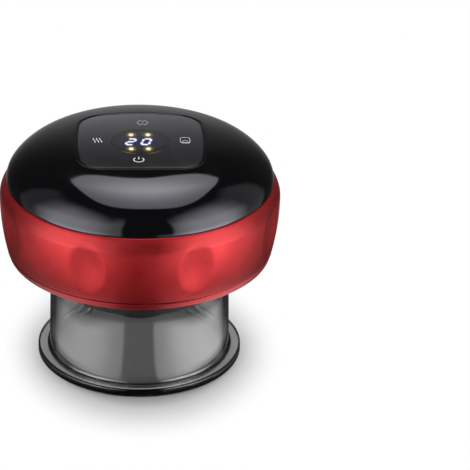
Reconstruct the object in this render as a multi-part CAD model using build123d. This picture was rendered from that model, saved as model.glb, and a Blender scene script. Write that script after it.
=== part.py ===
from build123d import *
import math
import os

# Electric cupping massager: a mushroom-shaped housing that stands on a clear suction cup.
# Lengths are in millimetres and angles in degrees. +Z is up and the cup's mouth lies on Z = 0.
# The front of the control panel faces -Y and the charging socket is at the back, at +Y.

# Housing
BODY_RADIUS = 50.0  # the widest part of the side ring
BELLY_RISE = 19.5  # from the ring's foot to where it is widest
SEAM_INSET = 2.4  # inside the widest part, where the top cover meets the ring
SEAM_RISE = 6.0  # from the ring's widest part to the seam
SEAM_GAP = 0.3  # shadow gap above and below the ring
# The dome's arcs from the crown outwards: how large each one is and the slope where it ends
DOME_ARCS = ((12.75, 1.8), (1.404, 16.0), (0.4234, 53.6), (0.166, 90.0))
COVER_WALL = 2.4
COVER_LIP_DEPTH = 3.5
COVER_LIP_WALL = 1.2
RING_FOOT_INSET = 2.2  # inside the widest part
RING_WALL = 2.2
FIT = 0.1  # between parts of the housing that slip into each other
OVERRUN = 6.0  # how far a cut runs past the face that it opens

# Scoops round the ring and short flutes under them
SCOOP_COUNT = 8
SCOOP_WIDTH = 13.0
SCOOP_LENGTH = 19.5
SCOOP_DEPTH = 1.1
SCOOP_RISE = 12.4  # from the ring's foot to the middle of each scoop
FLUTE_WIDTH = 7.0
FLUTE_LENGTH = 9.6
FLUTE_DEPTH = 0.8

# Control panel
PANEL_WIDTH = 44.6
PANEL_DEPTH = 45.4
PANEL_BOW = 1.7  # how far each side bows outwards
PANEL_CORNER = 9.0
PANEL_THICKNESS = 1.5
PANEL_SEAT = 0.1  # film of adhesive under the panel
PANEL_GAP = 0.15
CHANNEL_WIDTH = 1.3
CHANNEL_DEPTH = 0.7
LEDGE_WIDTH = 2.5

# Base
BASE_WALL = 2.0
BASE_EDGE_INSET = 0.8  # the base's lower outer edge, inside the ring's foot
BASE_EDGE_DROP = 2.7  # from the ring's foot to that edge
BASE_EDGE_ROUND = 1.5
CONE_DROP = 4.6  # from the edge to where the cone meets the bead
COLLAR_DEPTH = 4.3  # from the base's ceiling to that place
BEAD_WIDTH = 1.9
BEAD_DROP = 1.1
BEAD_ROUND = 0.5
GROOVE_WIDTH = 1.0
LIP_WIDTH = 1.9
LIP_DROP = 1.6
LIP_ROUND = 0.3
TONGUE_WALL = 1.2
TONGUE_RISE = 2.4
HUB_HOLE_RADIUS = 5.0  # the wires to the head pass here
EAR_ANGLES = (0, 90, 180, 270)
EAR_INSET = 8.2  # from the ring's widest part to the case screws
EAR_WIDTH = 6.0
EAR_RISE = 3.4  # from the ring's foot to the ears
EAR_THICKNESS = 2.0

# Cup
CUP_HEIGHT = 40.4
CUP_RADIUS = 32.3  # outside, at the neck
CUP_WALL = 1.8
CUP_FLARE = 0.5  # how much wider the wall is at its foot
CUP_NECK = 12.0  # straight stretch that slides over the seal
CUP_RIM_ROUND = 0.6
FLANGE_RADIUS = 37.0
FLANGE_THICKNESS = 3.0
FLANGE_ROUND = 0.7
FOOT_ROUND = 1.2
CUP_CLEARANCE = 0.5  # between the neck and the base's collar
CUP_SEAT_GAP = 0.2  # above the neck's rim

# Chamber insert and head
INSERT_GAP = 2.0  # between the insert and the cup's neck
INSERT_WALL = 2.0
PLATE_DROP = 12.1  # from the base's ceiling to the insert's plate
PLATE_THICKNESS = 2.0
PLATE_ROUND = 0.6
WELL_RADIUS = 19.0
WELL_WALL = 1.6
WELL_DROP = 3.6  # from the base's ceiling to the well's floor
WELL_FLOOR = 1.6
WIRE_HOLE_RADIUS = 3.0
SEAL_SECTION = 3.0
SEAL_DROP = 4.6  # from the base's ceiling to the seal's middle
SEAL_GROOVE_FIT = 0.1
SEAL_CUP_GAP = 0.05
SUCTION_RADIUS = 1.1
SUCTION_SPOT = (2.0, -24.0)
NIPPLE_COLUMN_RADIUS = 2.4
FILTER_THICKNESS = 1.6
FILTER_RISE = 0.8  # above the plate's face
HEAD_RADIUS = 12.4
HEAD_REACH = 10.0  # from the insert's plate down to the warm plate
HEAD_WALL = 1.5
HEAD_RIM = 0.7
HEAD_RECESS = 0.2  # the rim stands back from the warm plate
WARM_PLATE_THICKNESS = 1.8
HEATER_THICKNESS = 0.6
HEAD_STEP = 2.6  # the magnet's pocket is this much narrower
MAGNET_THICKNESS = 5.0
HEAD_WEB = 1.5
HEAD_BOSS_SPOT = 7.6
HEAD_BOSS_RADIUS = 2.0
STACK_GAP = 0.1  # between plates that lie on each other
LIGHT_BOARD_THICKNESS = 1.0
LIGHT_BOARD_WIDTH = 5.4
LIGHT_COUNT = 8
LIGHT_SIDE = 2.0
LIGHT_THICKNESS = 0.8
WINDOW_THICKNESS = 1.4
WINDOW_DROP = 0.4  # below the lights

# Screws: shank radius, shank length, head radius and head height
CASE_SCREW = (1.2, 8.0, 2.3, 1.6)
INSERT_SCREW = (1.1, 8.0, 2.1, 1.5)
SMALL_SCREW = (0.8, 5.0, 1.7, 1.2)  # for the head, both boards and the valve
STRAP_SCREW = (0.9, 4.4, 1.8, 1.3)
PUMP_SCREW = (1.0, 16.5, 1.9, 1.2)
SCREW_FIT = 0.05  # round a shank, in its hole
SCREW_CROWN_SHARE = 0.35  # of the head's height is rounded
PILOT_DEPTH = 0.6  # below a screw's tip
INSERT_SCREW_SPOT = 23.5
INSERT_SCREW_ANGLES = (30, 145, 236, 325)
INSERT_BOSS_RADIUS = 2.3

# Main board and what it carries
BOARD_INSET = 9.6  # inside the seam
BOARD_RISE = 4.6  # above the seam
BOARD_THICKNESS = 1.6
BOARD_SCREW_INSET = 5.0
BOARD_SCREW_ANGLES = (45, 135, 225, 315)
BOARD_BOSS_RADIUS = 2.4
DISPLAY_RADIUS = 10.1
DISPLAY_SPOT = (0.0, -2.9)
DISPLAY_TOP_GAP = 0.3  # below the panel
DIGIT_BLOCK = (12.6, 8.4)
LEVEL_SPOTS = ((-3.0, 5.8), (3.0, 5.8), (-3.0, -5.8), (3.0, -5.8))
LEVEL_SIZE = (2.2, 1.4, 0.8)
KEY_SPOTS = ((-15.0, -1.0), (15.8, -1.0), (0.8, 14.4), (-0.6, -16.9))
KEY_PAD_RADIUS = 3.0
CHIP_SIZE = (7.0, 7.0, 1.2)
CHIP_SPOT = (22.0, 16.0)

# Charging socket
SOCKET_SIZE = (8.94, 7.3, 3.26)
SOCKET_WALL = 0.3
SOCKET_TONGUE = (6.7, 4.6, 0.7)
SOCKET_RISE = 16.4  # from the ring's foot to the middle of its mouth
SOCKET_INSET = 1.0  # its mouth lies this far inside the ring
SOCKET_GAP = 0.35
CHARGE_BOARD = (20.0, 13.0, 1.0)
CHARGE_BOARD_SET_BACK = 3.0
CHARGE_POST_OFF = 7.6  # from the middle plane
CHARGE_POST_INSET = 12.0  # inside the ring's widest part
CHARGE_POST_RADIUS = 2.0

# Battery
CELL_RADIUS = 9.2
CELL_LENGTH = 65.0
CELL_Y = 21.0
CELL_RISE = 12.4  # from the base's floor to the cell's middle
CELL_CAP_RADIUS = 3.0
CELL_CAP_LENGTH = 0.8
CELL_SADDLE_SPOTS = (-14.0, 14.0)
CRADLE_GAP = 0.1  # between a round body and its saddle or strap
SADDLE_THICKNESS = 2.4
SADDLE_HALF_SHARE = 0.72  # of the radius on each side of the axis
STRAP_WIDTH = 6.0
STRAP_THICKNESS = 1.0
STRAP_FOOT = 5.0
STRAP_FOOT_RISE = 2.0
CELL_STRAP_SPOT = -2.0
TAB_THICKNESS = 0.3
TAB_SIZE = (5.0, 9.0)

# Vacuum pump, its shaft along X
PUMP_X = -6.0  # where the motor meets the pump's body
PUMP_Y = -3.0
PUMP_SIDE = 27.0
PUMP_CORNER = 2.5
PAD_THICKNESS = 0.8
PUMP_BODY_LENGTH = 12.0
PUMP_BODY_FLOOR = 1.5
CAVITY_RADIUS = 11.2
PUMP_SCREW_SPOT = 10.8
SHEET_THICKNESS = 0.8
DIAPHRAGM_CUP_RADIUS = 3.3
DIAPHRAGM_CUP_DEPTH = 0.7
STEM_RADIUS = 1.3
STEM_SPOT = 6.4
STEM_ANGLES = (90, 210, 330)
STEM_GAP = 0.1
VALVE_PLATE_THICKNESS = 3.0
PORT_RADIUS = 0.7
PORT_TURN = 15  # of each port from its chamber's middle, round the pump's axis
FLAP_RADIUS = 1.5
FLAP_THICKNESS = 0.4
PUMP_COVER_LENGTH = 4.6
CHAMBER_DEPTH = 2.0
CHAMBER_RADIUS = 8.6
CHAMBER_WALL = 1.0
OUTLET_RADIUS = 3.0
BARB_RADIUS = 1.15
BARB_BORE = 0.7
BARB_LENGTH = 4.6
BARB_HEIGHT = 9.0  # the inlet, above the pump's axis

# Motor
CAN_RADIUS = 12.2
CAN_LENGTH = 28.8
CAN_WALL = 0.9
CAN_BOSS_RADIUS = 3.0
CAN_BOSS_LENGTH = 1.3
END_CAP_THICKNESS = 2.4
BUSH_RADIUS = 2.2
BUSH_LENGTH = 2.2
SHAFT_RADIUS = 1.0
RUNNING_FIT = 0.03  # a shaft in its bush
MAGNET_WALL = 1.9
MAGNET_LENGTH = 20.0
MAGNET_SPREAD = 130
AIR_GAP = 0.4
ARMATURE_LENGTH = 13.0
ARMATURE_SPOT = 6.0  # from the motor's front to the armature
MAGNET_SPOT = 3.0
SLOT_WIDTH = 1.6
TOOTH_WIDTH = 4.6
POLE_TIP = 1.5
POLE_COUNT = 3
COIL_OVERHANG = 1.8
COIL_WALL = 1.3
COMMUTATOR_RADIUS = 2.4
COMMUTATOR_LENGTH = 4.0
COMMUTATOR_GAP = 3.2  # after the armature
BRUSH_SIZE = (2.4, 1.8, 3.4)
TERMINAL_SIZE = (3.5, 0.4, 2.4)
TERMINAL_SPOT = 7.0
MOTOR_SADDLE_SPOTS = (2.6, 16.0)
MOTOR_STRAP_SPOT = 9.0

# Crank and wobble plate
TILT = 7.0
PIVOT_X = -17.4  # where the tilted pin's axis crosses the shaft's
HUB_RADIUS = 4.4
HUB_GAP = 0.5  # between the can's boss and the hub
HUB_LENGTH = 4.2
SHAFT_SHARE = 0.5  # of the hub's length holds the shaft
PIN_RADIUS = 0.8
PIN_FIT = 0.04
PIN_CLEAR = 0.2
WOBBLE_BACK = 1.8  # from the pivot to the plate
WOBBLE_THICKNESS = 1.8
WOBBLE_RADIUS = 8.8
WOBBLE_BOSS_RADIUS = 2.4
WOBBLE_BOSS_LENGTH = 1.1
WOBBLE_ARM_WIDTH = 4.6
WOBBLE_HUB_RADIUS = 4.2

# Release valve, along X
VALVE_Y = -24.0
VALVE_RISE = 10.4  # from the base's floor to the valve's middle
VALVE_LEFT = -29.0
VALVE_LENGTH = 18.0
VALVE_SIDE = 12.0
YOKE_THICKNESS = 1.0
COIL_RADIUS = 4.8
COIL_BORE = 2.3
FLANGE_WALL = 0.8
COIL_WAIST = 0.4
PLUNGER_RADIUS = 2.2
PLUNGER_LENGTH = 6.4
PLUNGER_STEM = 1.2
SEAT_RADIUS = 1.4
SEAT_REACH = 5.0  # the seat's distance inside the yoke
SEAT_GAP = 0.02
SPRING_WALL = 0.55
SPRING_GAP = 0.1
VALVE_POST_RADIUS = 2.0
VALVE_TAB = 5.4  # the length and width of the screw tab at each end

# Air hoses and the tee between them
HOSE_RADIUS = 2.2
HOSE_BORE = 1.2
HOSE_END_GAP = 0.2
TEE_RISE = 10.4  # from the base's floor to the tee's middle
TEE_RADIUS = 1.7
TEE_BODY = 3.0
TEE_ARM = 7.0
PUMP_HOSE_RISE = 24.9  # from the base's floor to the hose's top
PUMP_HOSE_OUT = -32.0
HOSE_BEND_SHARE = 0.45

# Places worked out from the sizes above, each from the cup upwards or from the widest part inwards
BASE_CEILING = CUP_HEIGHT + CUP_SEAT_GAP
BASE_FLOOR = BASE_CEILING + BASE_WALL
COLLAR_RADIUS = CUP_RADIUS + CUP_CLEARANCE
CONE_FOOT_RADIUS = COLLAR_RADIUS + LIP_WIDTH + GROOVE_WIDTH + BEAD_WIDTH
CONE_FOOT_HEIGHT = BASE_CEILING - COLLAR_DEPTH
BASE_EDGE_HEIGHT = CONE_FOOT_HEIGHT + CONE_DROP
RING_FOOT_HEIGHT = BASE_EDGE_HEIGHT + BASE_EDGE_DROP
RING_FOOT_RADIUS = BODY_RADIUS - RING_FOOT_INSET
BASE_EDGE_RADIUS = RING_FOOT_RADIUS - BASE_EDGE_INSET
EAR_RADIUS = BODY_RADIUS - EAR_INSET
EAR_HEIGHT = RING_FOOT_HEIGHT + EAR_RISE
SCOOP_HEIGHT = RING_FOOT_HEIGHT + SCOOP_RISE
SOCKET_HEIGHT = RING_FOOT_HEIGHT + SOCKET_RISE
BELLY_HEIGHT = RING_FOOT_HEIGHT + BELLY_RISE
SEAM_RADIUS = BODY_RADIUS - SEAM_INSET
SEAM_HEIGHT = BELLY_HEIGHT + SEAM_RISE
BOARD_RADIUS = SEAM_RADIUS - BOARD_INSET
BOARD_SCREW_SPOT = BOARD_RADIUS - BOARD_SCREW_INSET
BOARD_HEIGHT = SEAM_HEIGHT + BOARD_RISE
STRAP_FOOT_HEIGHT = BASE_FLOOR + STRAP_FOOT_RISE
CHARGE_POST_SPOT = (CHARGE_POST_OFF, BODY_RADIUS - CHARGE_POST_INSET)
CELL_Z = BASE_FLOOR + CELL_RISE
VALVE_Z = BASE_FLOOR + VALVE_RISE
TEE_HEIGHT = BASE_FLOOR + TEE_RISE
PUMP_HOSE_TOP = BASE_FLOOR + PUMP_HOSE_RISE
CUP_BORE = CUP_RADIUS - CUP_WALL
INSERT_RADIUS = CUP_BORE - INSERT_GAP
PLATE_HEIGHT = BASE_CEILING - PLATE_DROP
WELL_FLOOR_HEIGHT = BASE_CEILING - WELL_DROP
SEAL_HEIGHT = BASE_CEILING - SEAL_DROP
HEAD_FACE_HEIGHT = PLATE_HEIGHT - HEAD_REACH
DOME_SLOPES = [0, *(math.radians(slope) for _, slope in DOME_ARCS)]
DOME_SIZES = [size for size, _ in DOME_ARCS]
DOME_RUNS = [s * (math.sin(b) - math.sin(a)) for s, a, b in zip(DOME_SIZES, DOME_SLOPES, DOME_SLOPES[1:])]
DOME_RADII = [size * SEAM_RADIUS / sum(DOME_RUNS) for size in DOME_SIZES]
DOME_RISES = [r * (math.cos(a) - math.cos(b)) for r, a, b in zip(DOME_RADII, DOME_SLOPES, DOME_SLOPES[1:])]
CROWN_HEIGHT = SEAM_HEIGHT + sum(DOME_RISES)
CONE_SLOPE = (BASE_EDGE_HEIGHT - CONE_FOOT_HEIGHT) / (BASE_EDGE_RADIUS - CONE_FOOT_RADIUS)
BOARD_TOP = BOARD_HEIGHT + BOARD_THICKNESS
PUMP_Z = BASE_FLOOR + PAD_THICKNESS + PUMP_SIDE / 2
PUMP_BACK = PUMP_X - PUMP_BODY_LENGTH
PLATE_X = PUMP_BACK - SHEET_THICKNESS
COVER_X = PLATE_X - VALVE_PLATE_THICKNESS
PUMP_END = COVER_X - PUMP_COVER_LENGTH
BARB_X = (COVER_X + PUMP_END) / 2
CAN_END = PUMP_X + CAN_LENGTH
ROTOR_RADIUS = CAN_RADIUS - CAN_WALL - MAGNET_WALL - AIR_GAP
VALVE_RIGHT = VALVE_LEFT + VALVE_LENGTH
VALVE_SCREW_SPOTS = (VALVE_LEFT - VALVE_TAB / 2, VALVE_RIGHT + VALVE_TAB / 2)
HUB_END = PUMP_X - CAN_BOSS_LENGTH - HUB_GAP
HUB_START = HUB_END - HUB_LENGTH
SHAFT_START = HUB_END - HUB_LENGTH * SHAFT_SHARE
SCOOP_STEP = 360 / SCOOP_COUNT


def spin(face):
    """A face drawn as radius and height, turned once about the upright axis."""
    return revolve(Plane.XZ * face, Axis.Z)


def turned(*corners):
    """A turned solid whose outline runs through corners of radius, height and rounding."""
    outline = FilletPolyline(*[(r, z) for r, z, _ in corners], radius=[c for _, _, c in corners], close=True)
    return spin(make_face(outline))


def drum(radius, low, high, x=0, y=0):
    """An upright cylinder between two heights."""
    return Pos(x, y, low) * Cylinder(radius, high - low, align=(Align.CENTER, Align.CENTER, Align.MIN))


def pipe(radius, bore, low, high, x=0, y=0):
    """An upright tube between two heights."""
    return drum(radius, low, high, x, y) - drum(bore, low - OVERRUN, high + OVERRUN, x, y)


def bar(radius, left, right, y, z):
    """A cylinder along X between two places."""
    upright = Cylinder(radius, right - left, align=(Align.CENTER, Align.CENTER, Align.MIN))
    return Pos(left, y, z) * Rot(0, 90, 0) * upright


def sleeve(radius, bore, left, right, y, z):
    """A tube along X between two places."""
    return bar(radius, left, right, y, z) - bar(bore, left - OVERRUN, right + OVERRUN, y, z)


def spindle(radius, low, high, x, z):
    """A cylinder along Y between two places."""
    upright = Cylinder(radius, high - low, align=(Align.CENTER, Align.CENTER, Align.MIN))
    return Pos(x, low, z) * Rot(-90, 0, 0) * upright


def block(low, high):
    """A box between two opposite corners."""
    size = [b - a for a, b in zip(low, high)]
    return Pos(*low) * Box(*size, align=(Align.MIN, Align.MIN, Align.MIN))


def polar(radius, angle):
    """The place at a radius and an angle round the upright axis."""
    return radius * math.cos(math.radians(angle)), radius * math.sin(math.radians(angle))


def screw(sizes):
    """A pan-head screw whose head stands on Z = 0, its shank pointing down."""
    shank, length, head, height = sizes
    crown = height * SCREW_CROWN_SHARE
    point = shank / 2
    return turned(
        (0, height, 0), (head, height, crown), (head, 0, 0), (shank, 0, 0),
        (shank, point - length, 0), (point, -length, 0), (0, -length, 0),
    )


def pilot(sizes, x, y, seat):
    """The hole for a screw whose head stands at the height of its seat."""
    shank, length, _, _ = sizes
    return drum(shank + SCREW_FIT, seat - length - PILOT_DEPTH, seat + OVERRUN, x, y)


# Housing


def dome_solid(drop):
    """The filled dome, with its skin the given depth inside the outer surface."""
    x, z = 0, CROWN_HEIGHT - DOME_RADII[0]
    skin = []
    slope_ends = (DOME_SLOPES, DOME_SLOPES[1:])
    for radius, following, inner, outer in zip(DOME_RADII, DOME_RADII[1:] + [0], *slope_ends):
        reach = radius - drop
        slopes = (inner, (inner + outer) / 2, outer)
        skin.append(ThreePointArc(*[(x + reach * math.sin(s), z + reach * math.cos(s)) for s in slopes]))
        x += (radius - following) * math.sin(outer)
        z += (radius - following) * math.cos(outer)
    middle = (0, SEAM_HEIGHT)
    return spin(make_face([*skin, Line(skin[-1] @ 1, middle), Line(middle, skin[0] @ 0)]))


def panel_prism(grow):
    """An upright prism with the panel's outline: a square with bowed sides and round corners."""
    x, y = PANEL_WIDTH / 2 - PANEL_BOW + grow, PANEL_DEPTH / 2 - PANEL_BOW + grow
    corners = [(x, y), (-x, y), (-x, -y), (x, -y)]
    middles = [(0, y + PANEL_BOW), (-x - PANEL_BOW, 0), (0, -y - PANEL_BOW), (x + PANEL_BOW, 0)]
    sides = [ThreePointArc(a, m, b) for a, m, b in zip(corners, middles, corners[1:] + corners[:1])]
    outline = make_face(sides)
    outline = fillet(outline.vertices(), PANEL_CORNER + grow)
    return Pos(0, 0, SEAM_HEIGHT) * extrude(outline, CROWN_HEIGHT - SEAM_HEIGHT + OVERRUN)


def top_cover():
    shell = dome_solid(0) - dome_solid(COVER_WALL)
    lip_radius = SEAM_RADIUS - COVER_WALL
    lip_bore = lip_radius - COVER_LIP_WALL
    shell += pipe(lip_radius, lip_bore, SEAM_HEIGHT - COVER_LIP_DEPTH, SEAM_HEIGHT + COVER_WALL)
    shell += pipe(SEAM_RADIUS - COVER_WALL / 2, lip_bore, SEAM_HEIGHT, SEAM_HEIGHT + COVER_WALL)
    shell -= panel_prism(PANEL_GAP) - dome_solid(PANEL_THICKNESS + PANEL_SEAT)
    shell -= panel_prism(CHANNEL_WIDTH) - dome_solid(CHANNEL_DEPTH)
    shell -= panel_prism(-LEDGE_WIDTH)
    inside = dome_solid(COVER_WALL / 2)
    for angle in BOARD_SCREW_ANGLES:
        x, y = polar(BOARD_SCREW_SPOT, angle)
        shell += drum(BOARD_BOSS_RADIUS, BOARD_TOP, CROWN_HEIGHT, x, y) & inside
        shank, length, _, _ = SMALL_SCREW
        shell -= drum(shank + SCREW_FIT, BOARD_TOP - OVERRUN, BOARD_HEIGHT + length + SCREW_FIT, x, y)
    return shell


def control_panel():
    return panel_prism(0) & (dome_solid(0) - dome_solid(PANEL_THICKNESS))


def ring_skin(inset):
    """Two arcs of the ring's side, above and below its belly, set in by the given depth."""
    belly = (BODY_RADIUS - inset, BELLY_HEIGHT)
    top = (SEAM_RADIUS - inset, SEAM_HEIGHT - SEAM_GAP)
    foot = (RING_FOOT_RADIUS - inset, RING_FOOT_HEIGHT)
    return TangentArc(belly, top, tangent=(0, 1)), TangentArc(belly, foot, tangent=(0, -1)), top, foot


def scoop():
    """A barrel that cuts one oval scoop into the ring, lying at the +X side."""
    half, reach = SCOOP_LENGTH / 2, SCOOP_WIDTH / 2
    flank = BODY_RADIUS - (BODY_RADIUS - RING_FOOT_RADIUS) * (
        (BELLY_HEIGHT - SCOOP_HEIGHT) / (BELLY_HEIGHT - RING_FOOT_HEIGHT)
    ) ** 2
    flank_curve = (BELLY_HEIGHT - RING_FOOT_HEIGHT) ** 2 / (2 * (BODY_RADIUS - RING_FOOT_RADIUS))
    across = 1 / (2 * SCOOP_DEPTH / reach**2 - 1 / flank)
    along = 1 / (2 * SCOOP_DEPTH / half**2 - 1 / flank_curve)
    depth = flank - SCOOP_DEPTH
    end = across - SCOOP_LENGTH**2 / (2 * along)
    barrel = make_face([
        ThreePointArc((end, -SCOOP_LENGTH), (across, 0), (end, SCOOP_LENGTH)),
        Polyline((end, SCOOP_LENGTH), (0, SCOOP_LENGTH), (0, -SCOOP_LENGTH), (end, -SCOOP_LENGTH)),
    ])
    lean = math.degrees(math.atan((BELLY_HEIGHT - SCOOP_HEIGHT) / flank_curve))
    return Pos(depth, 0, SCOOP_HEIGHT) * Rot(0, lean, 0) * Pos(across, 0, 0) * spin(barrel)


def side_ring():
    upper, lower, top, foot = ring_skin(0)
    inner_upper, inner_lower, inner_top, inner_foot = ring_skin(RING_WALL)
    edges = [upper, lower, Line(top, inner_top), inner_upper, inner_lower, Line(inner_foot, foot)]
    ring = spin(make_face(edges))
    filling = spin(make_face([upper, lower, Polyline(top, (0, top[1]), (0, foot[1]), foot)]))
    for angle in EAR_ANGLES:
        low = (EAR_RADIUS - EAR_WIDTH / 2, -EAR_WIDTH / 2, EAR_HEIGHT)
        high = (BODY_RADIUS, EAR_WIDTH / 2, EAR_HEIGHT + EAR_THICKNESS)
        ear = Rot(0, 0, angle) * block(low, high)
        x, y = polar(EAR_RADIUS, angle)
        ring += ear & filling
        ring -= pilot(CASE_SCREW, x, y, EAR_HEIGHT + EAR_THICKNESS)
    cutter = scoop()
    for place in range(SCOOP_COUNT):
        ring -= Rot(0, 0, (place + 1 / 2) * SCOOP_STEP) * cutter
    return ring - socket_slot(SOCKET_GAP)


def socket_slot(gap):
    """The rounded slot through the ring in front of the charging socket."""
    width, _, height = SOCKET_SIZE
    slot = SlotOverall(width + 2 * gap, height + 2 * gap)
    return Pos(0, BODY_RADIUS + OVERRUN, SOCKET_HEIGHT) * Rot(90, 0, 0) * extrude(slot, 2 * OVERRUN)


def base_outer():
    """The outer outline of the base, from the shoulder under the ring to the cup's slot."""
    bead_inner = CONE_FOOT_RADIUS - BEAD_WIDTH
    lip_outer = bead_inner - GROOVE_WIDTH
    lip_inner = COLLAR_RADIUS
    return [
        (RING_FOOT_RADIUS, RING_FOOT_HEIGHT - SEAM_GAP, LIP_ROUND),
        (BASE_EDGE_RADIUS, BASE_EDGE_HEIGHT, BASE_EDGE_ROUND),
        (CONE_FOOT_RADIUS, CONE_FOOT_HEIGHT, 0),
        (CONE_FOOT_RADIUS - BEAD_ROUND, CONE_FOOT_HEIGHT - BEAD_DROP, BEAD_ROUND),
        (bead_inner, CONE_FOOT_HEIGHT - BEAD_DROP, BEAD_ROUND),
        (bead_inner, CONE_FOOT_HEIGHT, 0),
        (lip_outer, CONE_FOOT_HEIGHT, 0),
        (lip_outer, CONE_FOOT_HEIGHT - LIP_DROP, LIP_ROUND),
        (lip_inner, CONE_FOOT_HEIGHT - LIP_DROP, LIP_ROUND),
        (lip_inner, BASE_CEILING, 0),
    ]


def base_post(envelope, x, y, radius, top):
    """An upright post on the base, cut to the base's own underside."""
    return drum(radius, CONE_FOOT_HEIGHT, top, x, y) & envelope


def saddle(x, y, z, radius):
    """A rib across X on the base floor, hollowed for a round body lying along X."""
    half = radius * SADDLE_HALF_SHARE
    low = (x - SADDLE_THICKNESS / 2, y - half, BASE_FLOOR - BASE_WALL / 2)
    high = (x + SADDLE_THICKNESS / 2, y + half, z)
    return block(low, high) - bar(radius + CRADLE_GAP, low[0] - OVERRUN, high[0] + OVERRUN, y, z)


def strap_feet(y, radius):
    """The Y places of the two screws that hold a strap over a body of this radius."""
    reach = radius + CRADLE_GAP + STRAP_THICKNESS + STRAP_FOOT / 2
    return y - reach, y + reach


STRAPS = (
    (MOTOR_STRAP_SPOT, PUMP_Y, PUMP_Z, CAN_RADIUS),
    (CELL_STRAP_SPOT, CELL_Y, CELL_Z, CELL_RADIUS),
)


def flute():
    """A barrel lying along the cone's slope that cuts one short flute, at the +X side."""
    across = (FLUTE_WIDTH / 2) ** 2 / (2 * FLUTE_DEPTH)
    along = (FLUTE_LENGTH / 2) ** 2 / (2 * FLUTE_DEPTH)
    end = across - FLUTE_LENGTH**2 / (2 * along)
    barrel = make_face([
        ThreePointArc((end, -FLUTE_LENGTH), (across, 0), (end, FLUTE_LENGTH)),
        Polyline((end, FLUTE_LENGTH), (0, FLUTE_LENGTH), (0, -FLUTE_LENGTH), (end, -FLUTE_LENGTH)),
    ])
    slope = math.degrees(math.atan(CONE_SLOPE))
    middle = Pos((CONE_FOOT_RADIUS + BASE_EDGE_RADIUS) / 2, 0, (CONE_FOOT_HEIGHT + BASE_EDGE_HEIGHT) / 2)
    return middle * Rot(0, -slope, 0) * Pos(0, 0, FLUTE_DEPTH - across) * Rot(0, 90, 0) * spin(barrel)


def bottom_cover():
    outer = base_outer()
    cone_inner = CONE_SLOPE * BASE_WALL + BASE_WALL
    floor_edge = COLLAR_RADIUS + BASE_WALL
    trough = CONE_FOOT_HEIGHT + BASE_WALL
    tongue_outer = RING_FOOT_RADIUS - RING_WALL - FIT
    tongue_inner = tongue_outer - TONGUE_WALL
    tongue_foot = BASE_EDGE_HEIGHT + CONE_SLOPE * (tongue_inner - BASE_EDGE_RADIUS) + cone_inner
    trough_end = CONE_FOOT_RADIUS + (trough - CONE_FOOT_HEIGHT - cone_inner) / CONE_SLOPE
    shoulder = RING_FOOT_HEIGHT - SEAM_GAP
    base = turned(
        *outer,
        (HUB_HOLE_RADIUS, BASE_CEILING, 0),
        (HUB_HOLE_RADIUS, BASE_FLOOR, 0),
        (floor_edge, BASE_FLOOR, 0),
        (floor_edge, trough, 0),
        (trough_end, trough, 0),
        (tongue_inner, tongue_foot, 0),
        (tongue_inner, shoulder + TONGUE_RISE, 0),
        (tongue_outer, shoulder + TONGUE_RISE, 0),
        (tongue_outer, shoulder, 0),
    )
    wall = (tongue_inner + tongue_outer) / 2
    envelope = turned(
        *outer, (0, BASE_CEILING, 0), (0, CROWN_HEIGHT, 0), (wall, CROWN_HEIGHT, 0), (wall, shoulder, 0),
    )
    for angle in EAR_ANGLES:
        x, y = polar(EAR_RADIUS, angle)
        base += base_post(envelope, x, y, EAR_WIDTH / 2, EAR_HEIGHT)
        base -= pilot(CASE_SCREW, x, y, EAR_HEIGHT + EAR_THICKNESS)
    for x in CELL_SADDLE_SPOTS:
        base += saddle(x, CELL_Y, CELL_Z, CELL_RADIUS) & envelope
    for x in MOTOR_SADDLE_SPOTS:
        base += saddle(x, PUMP_Y, PUMP_Z, CAN_RADIUS)
    for x, y, _, radius in STRAPS:
        for foot_y in strap_feet(y, radius):
            base += base_post(envelope, x, foot_y, STRAP_FOOT / 2, STRAP_FOOT_HEIGHT)
            base -= pilot(STRAP_SCREW, x, foot_y, STRAP_FOOT_HEIGHT + STRAP_THICKNESS)
    post_x, post_y = CHARGE_POST_SPOT
    post_top = SOCKET_HEIGHT - SOCKET_SIZE[2] / 2 - CHARGE_BOARD[2]
    for x in (-post_x, post_x):
        base += base_post(envelope, x, post_y, CHARGE_POST_RADIUS, post_top)
        base -= pilot(SMALL_SCREW, x, post_y, post_top + CHARGE_BOARD[2])
    valve_foot = VALVE_Z - VALVE_SIDE / 2
    for x in VALVE_SCREW_SPOTS:
        base += base_post(envelope, x, VALVE_Y, VALVE_POST_RADIUS, valve_foot)
        base -= pilot(SMALL_SCREW, x, VALVE_Y, valve_foot + YOKE_THICKNESS)
    for angle in INSERT_SCREW_ANGLES:
        x, y = polar(INSERT_SCREW_SPOT, angle)
        base -= pilot(INSERT_SCREW, x, y, BASE_FLOOR)
    base -= drum(BARB_RADIUS + CUP_CLEARANCE, BASE_CEILING - OVERRUN, BASE_FLOOR + OVERRUN, *SUCTION_SPOT)
    cutter = flute()
    for place in range(SCOOP_COUNT):
        base -= Rot(0, 0, (place + 1 / 2) * SCOOP_STEP) * cutter
    return base


def case_screws():
    seat = EAR_HEIGHT + EAR_THICKNESS
    return [Pos(*polar(EAR_RADIUS, angle), seat) * screw(CASE_SCREW) for angle in EAR_ANGLES]


# Cup and the chamber that it fits over


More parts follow.
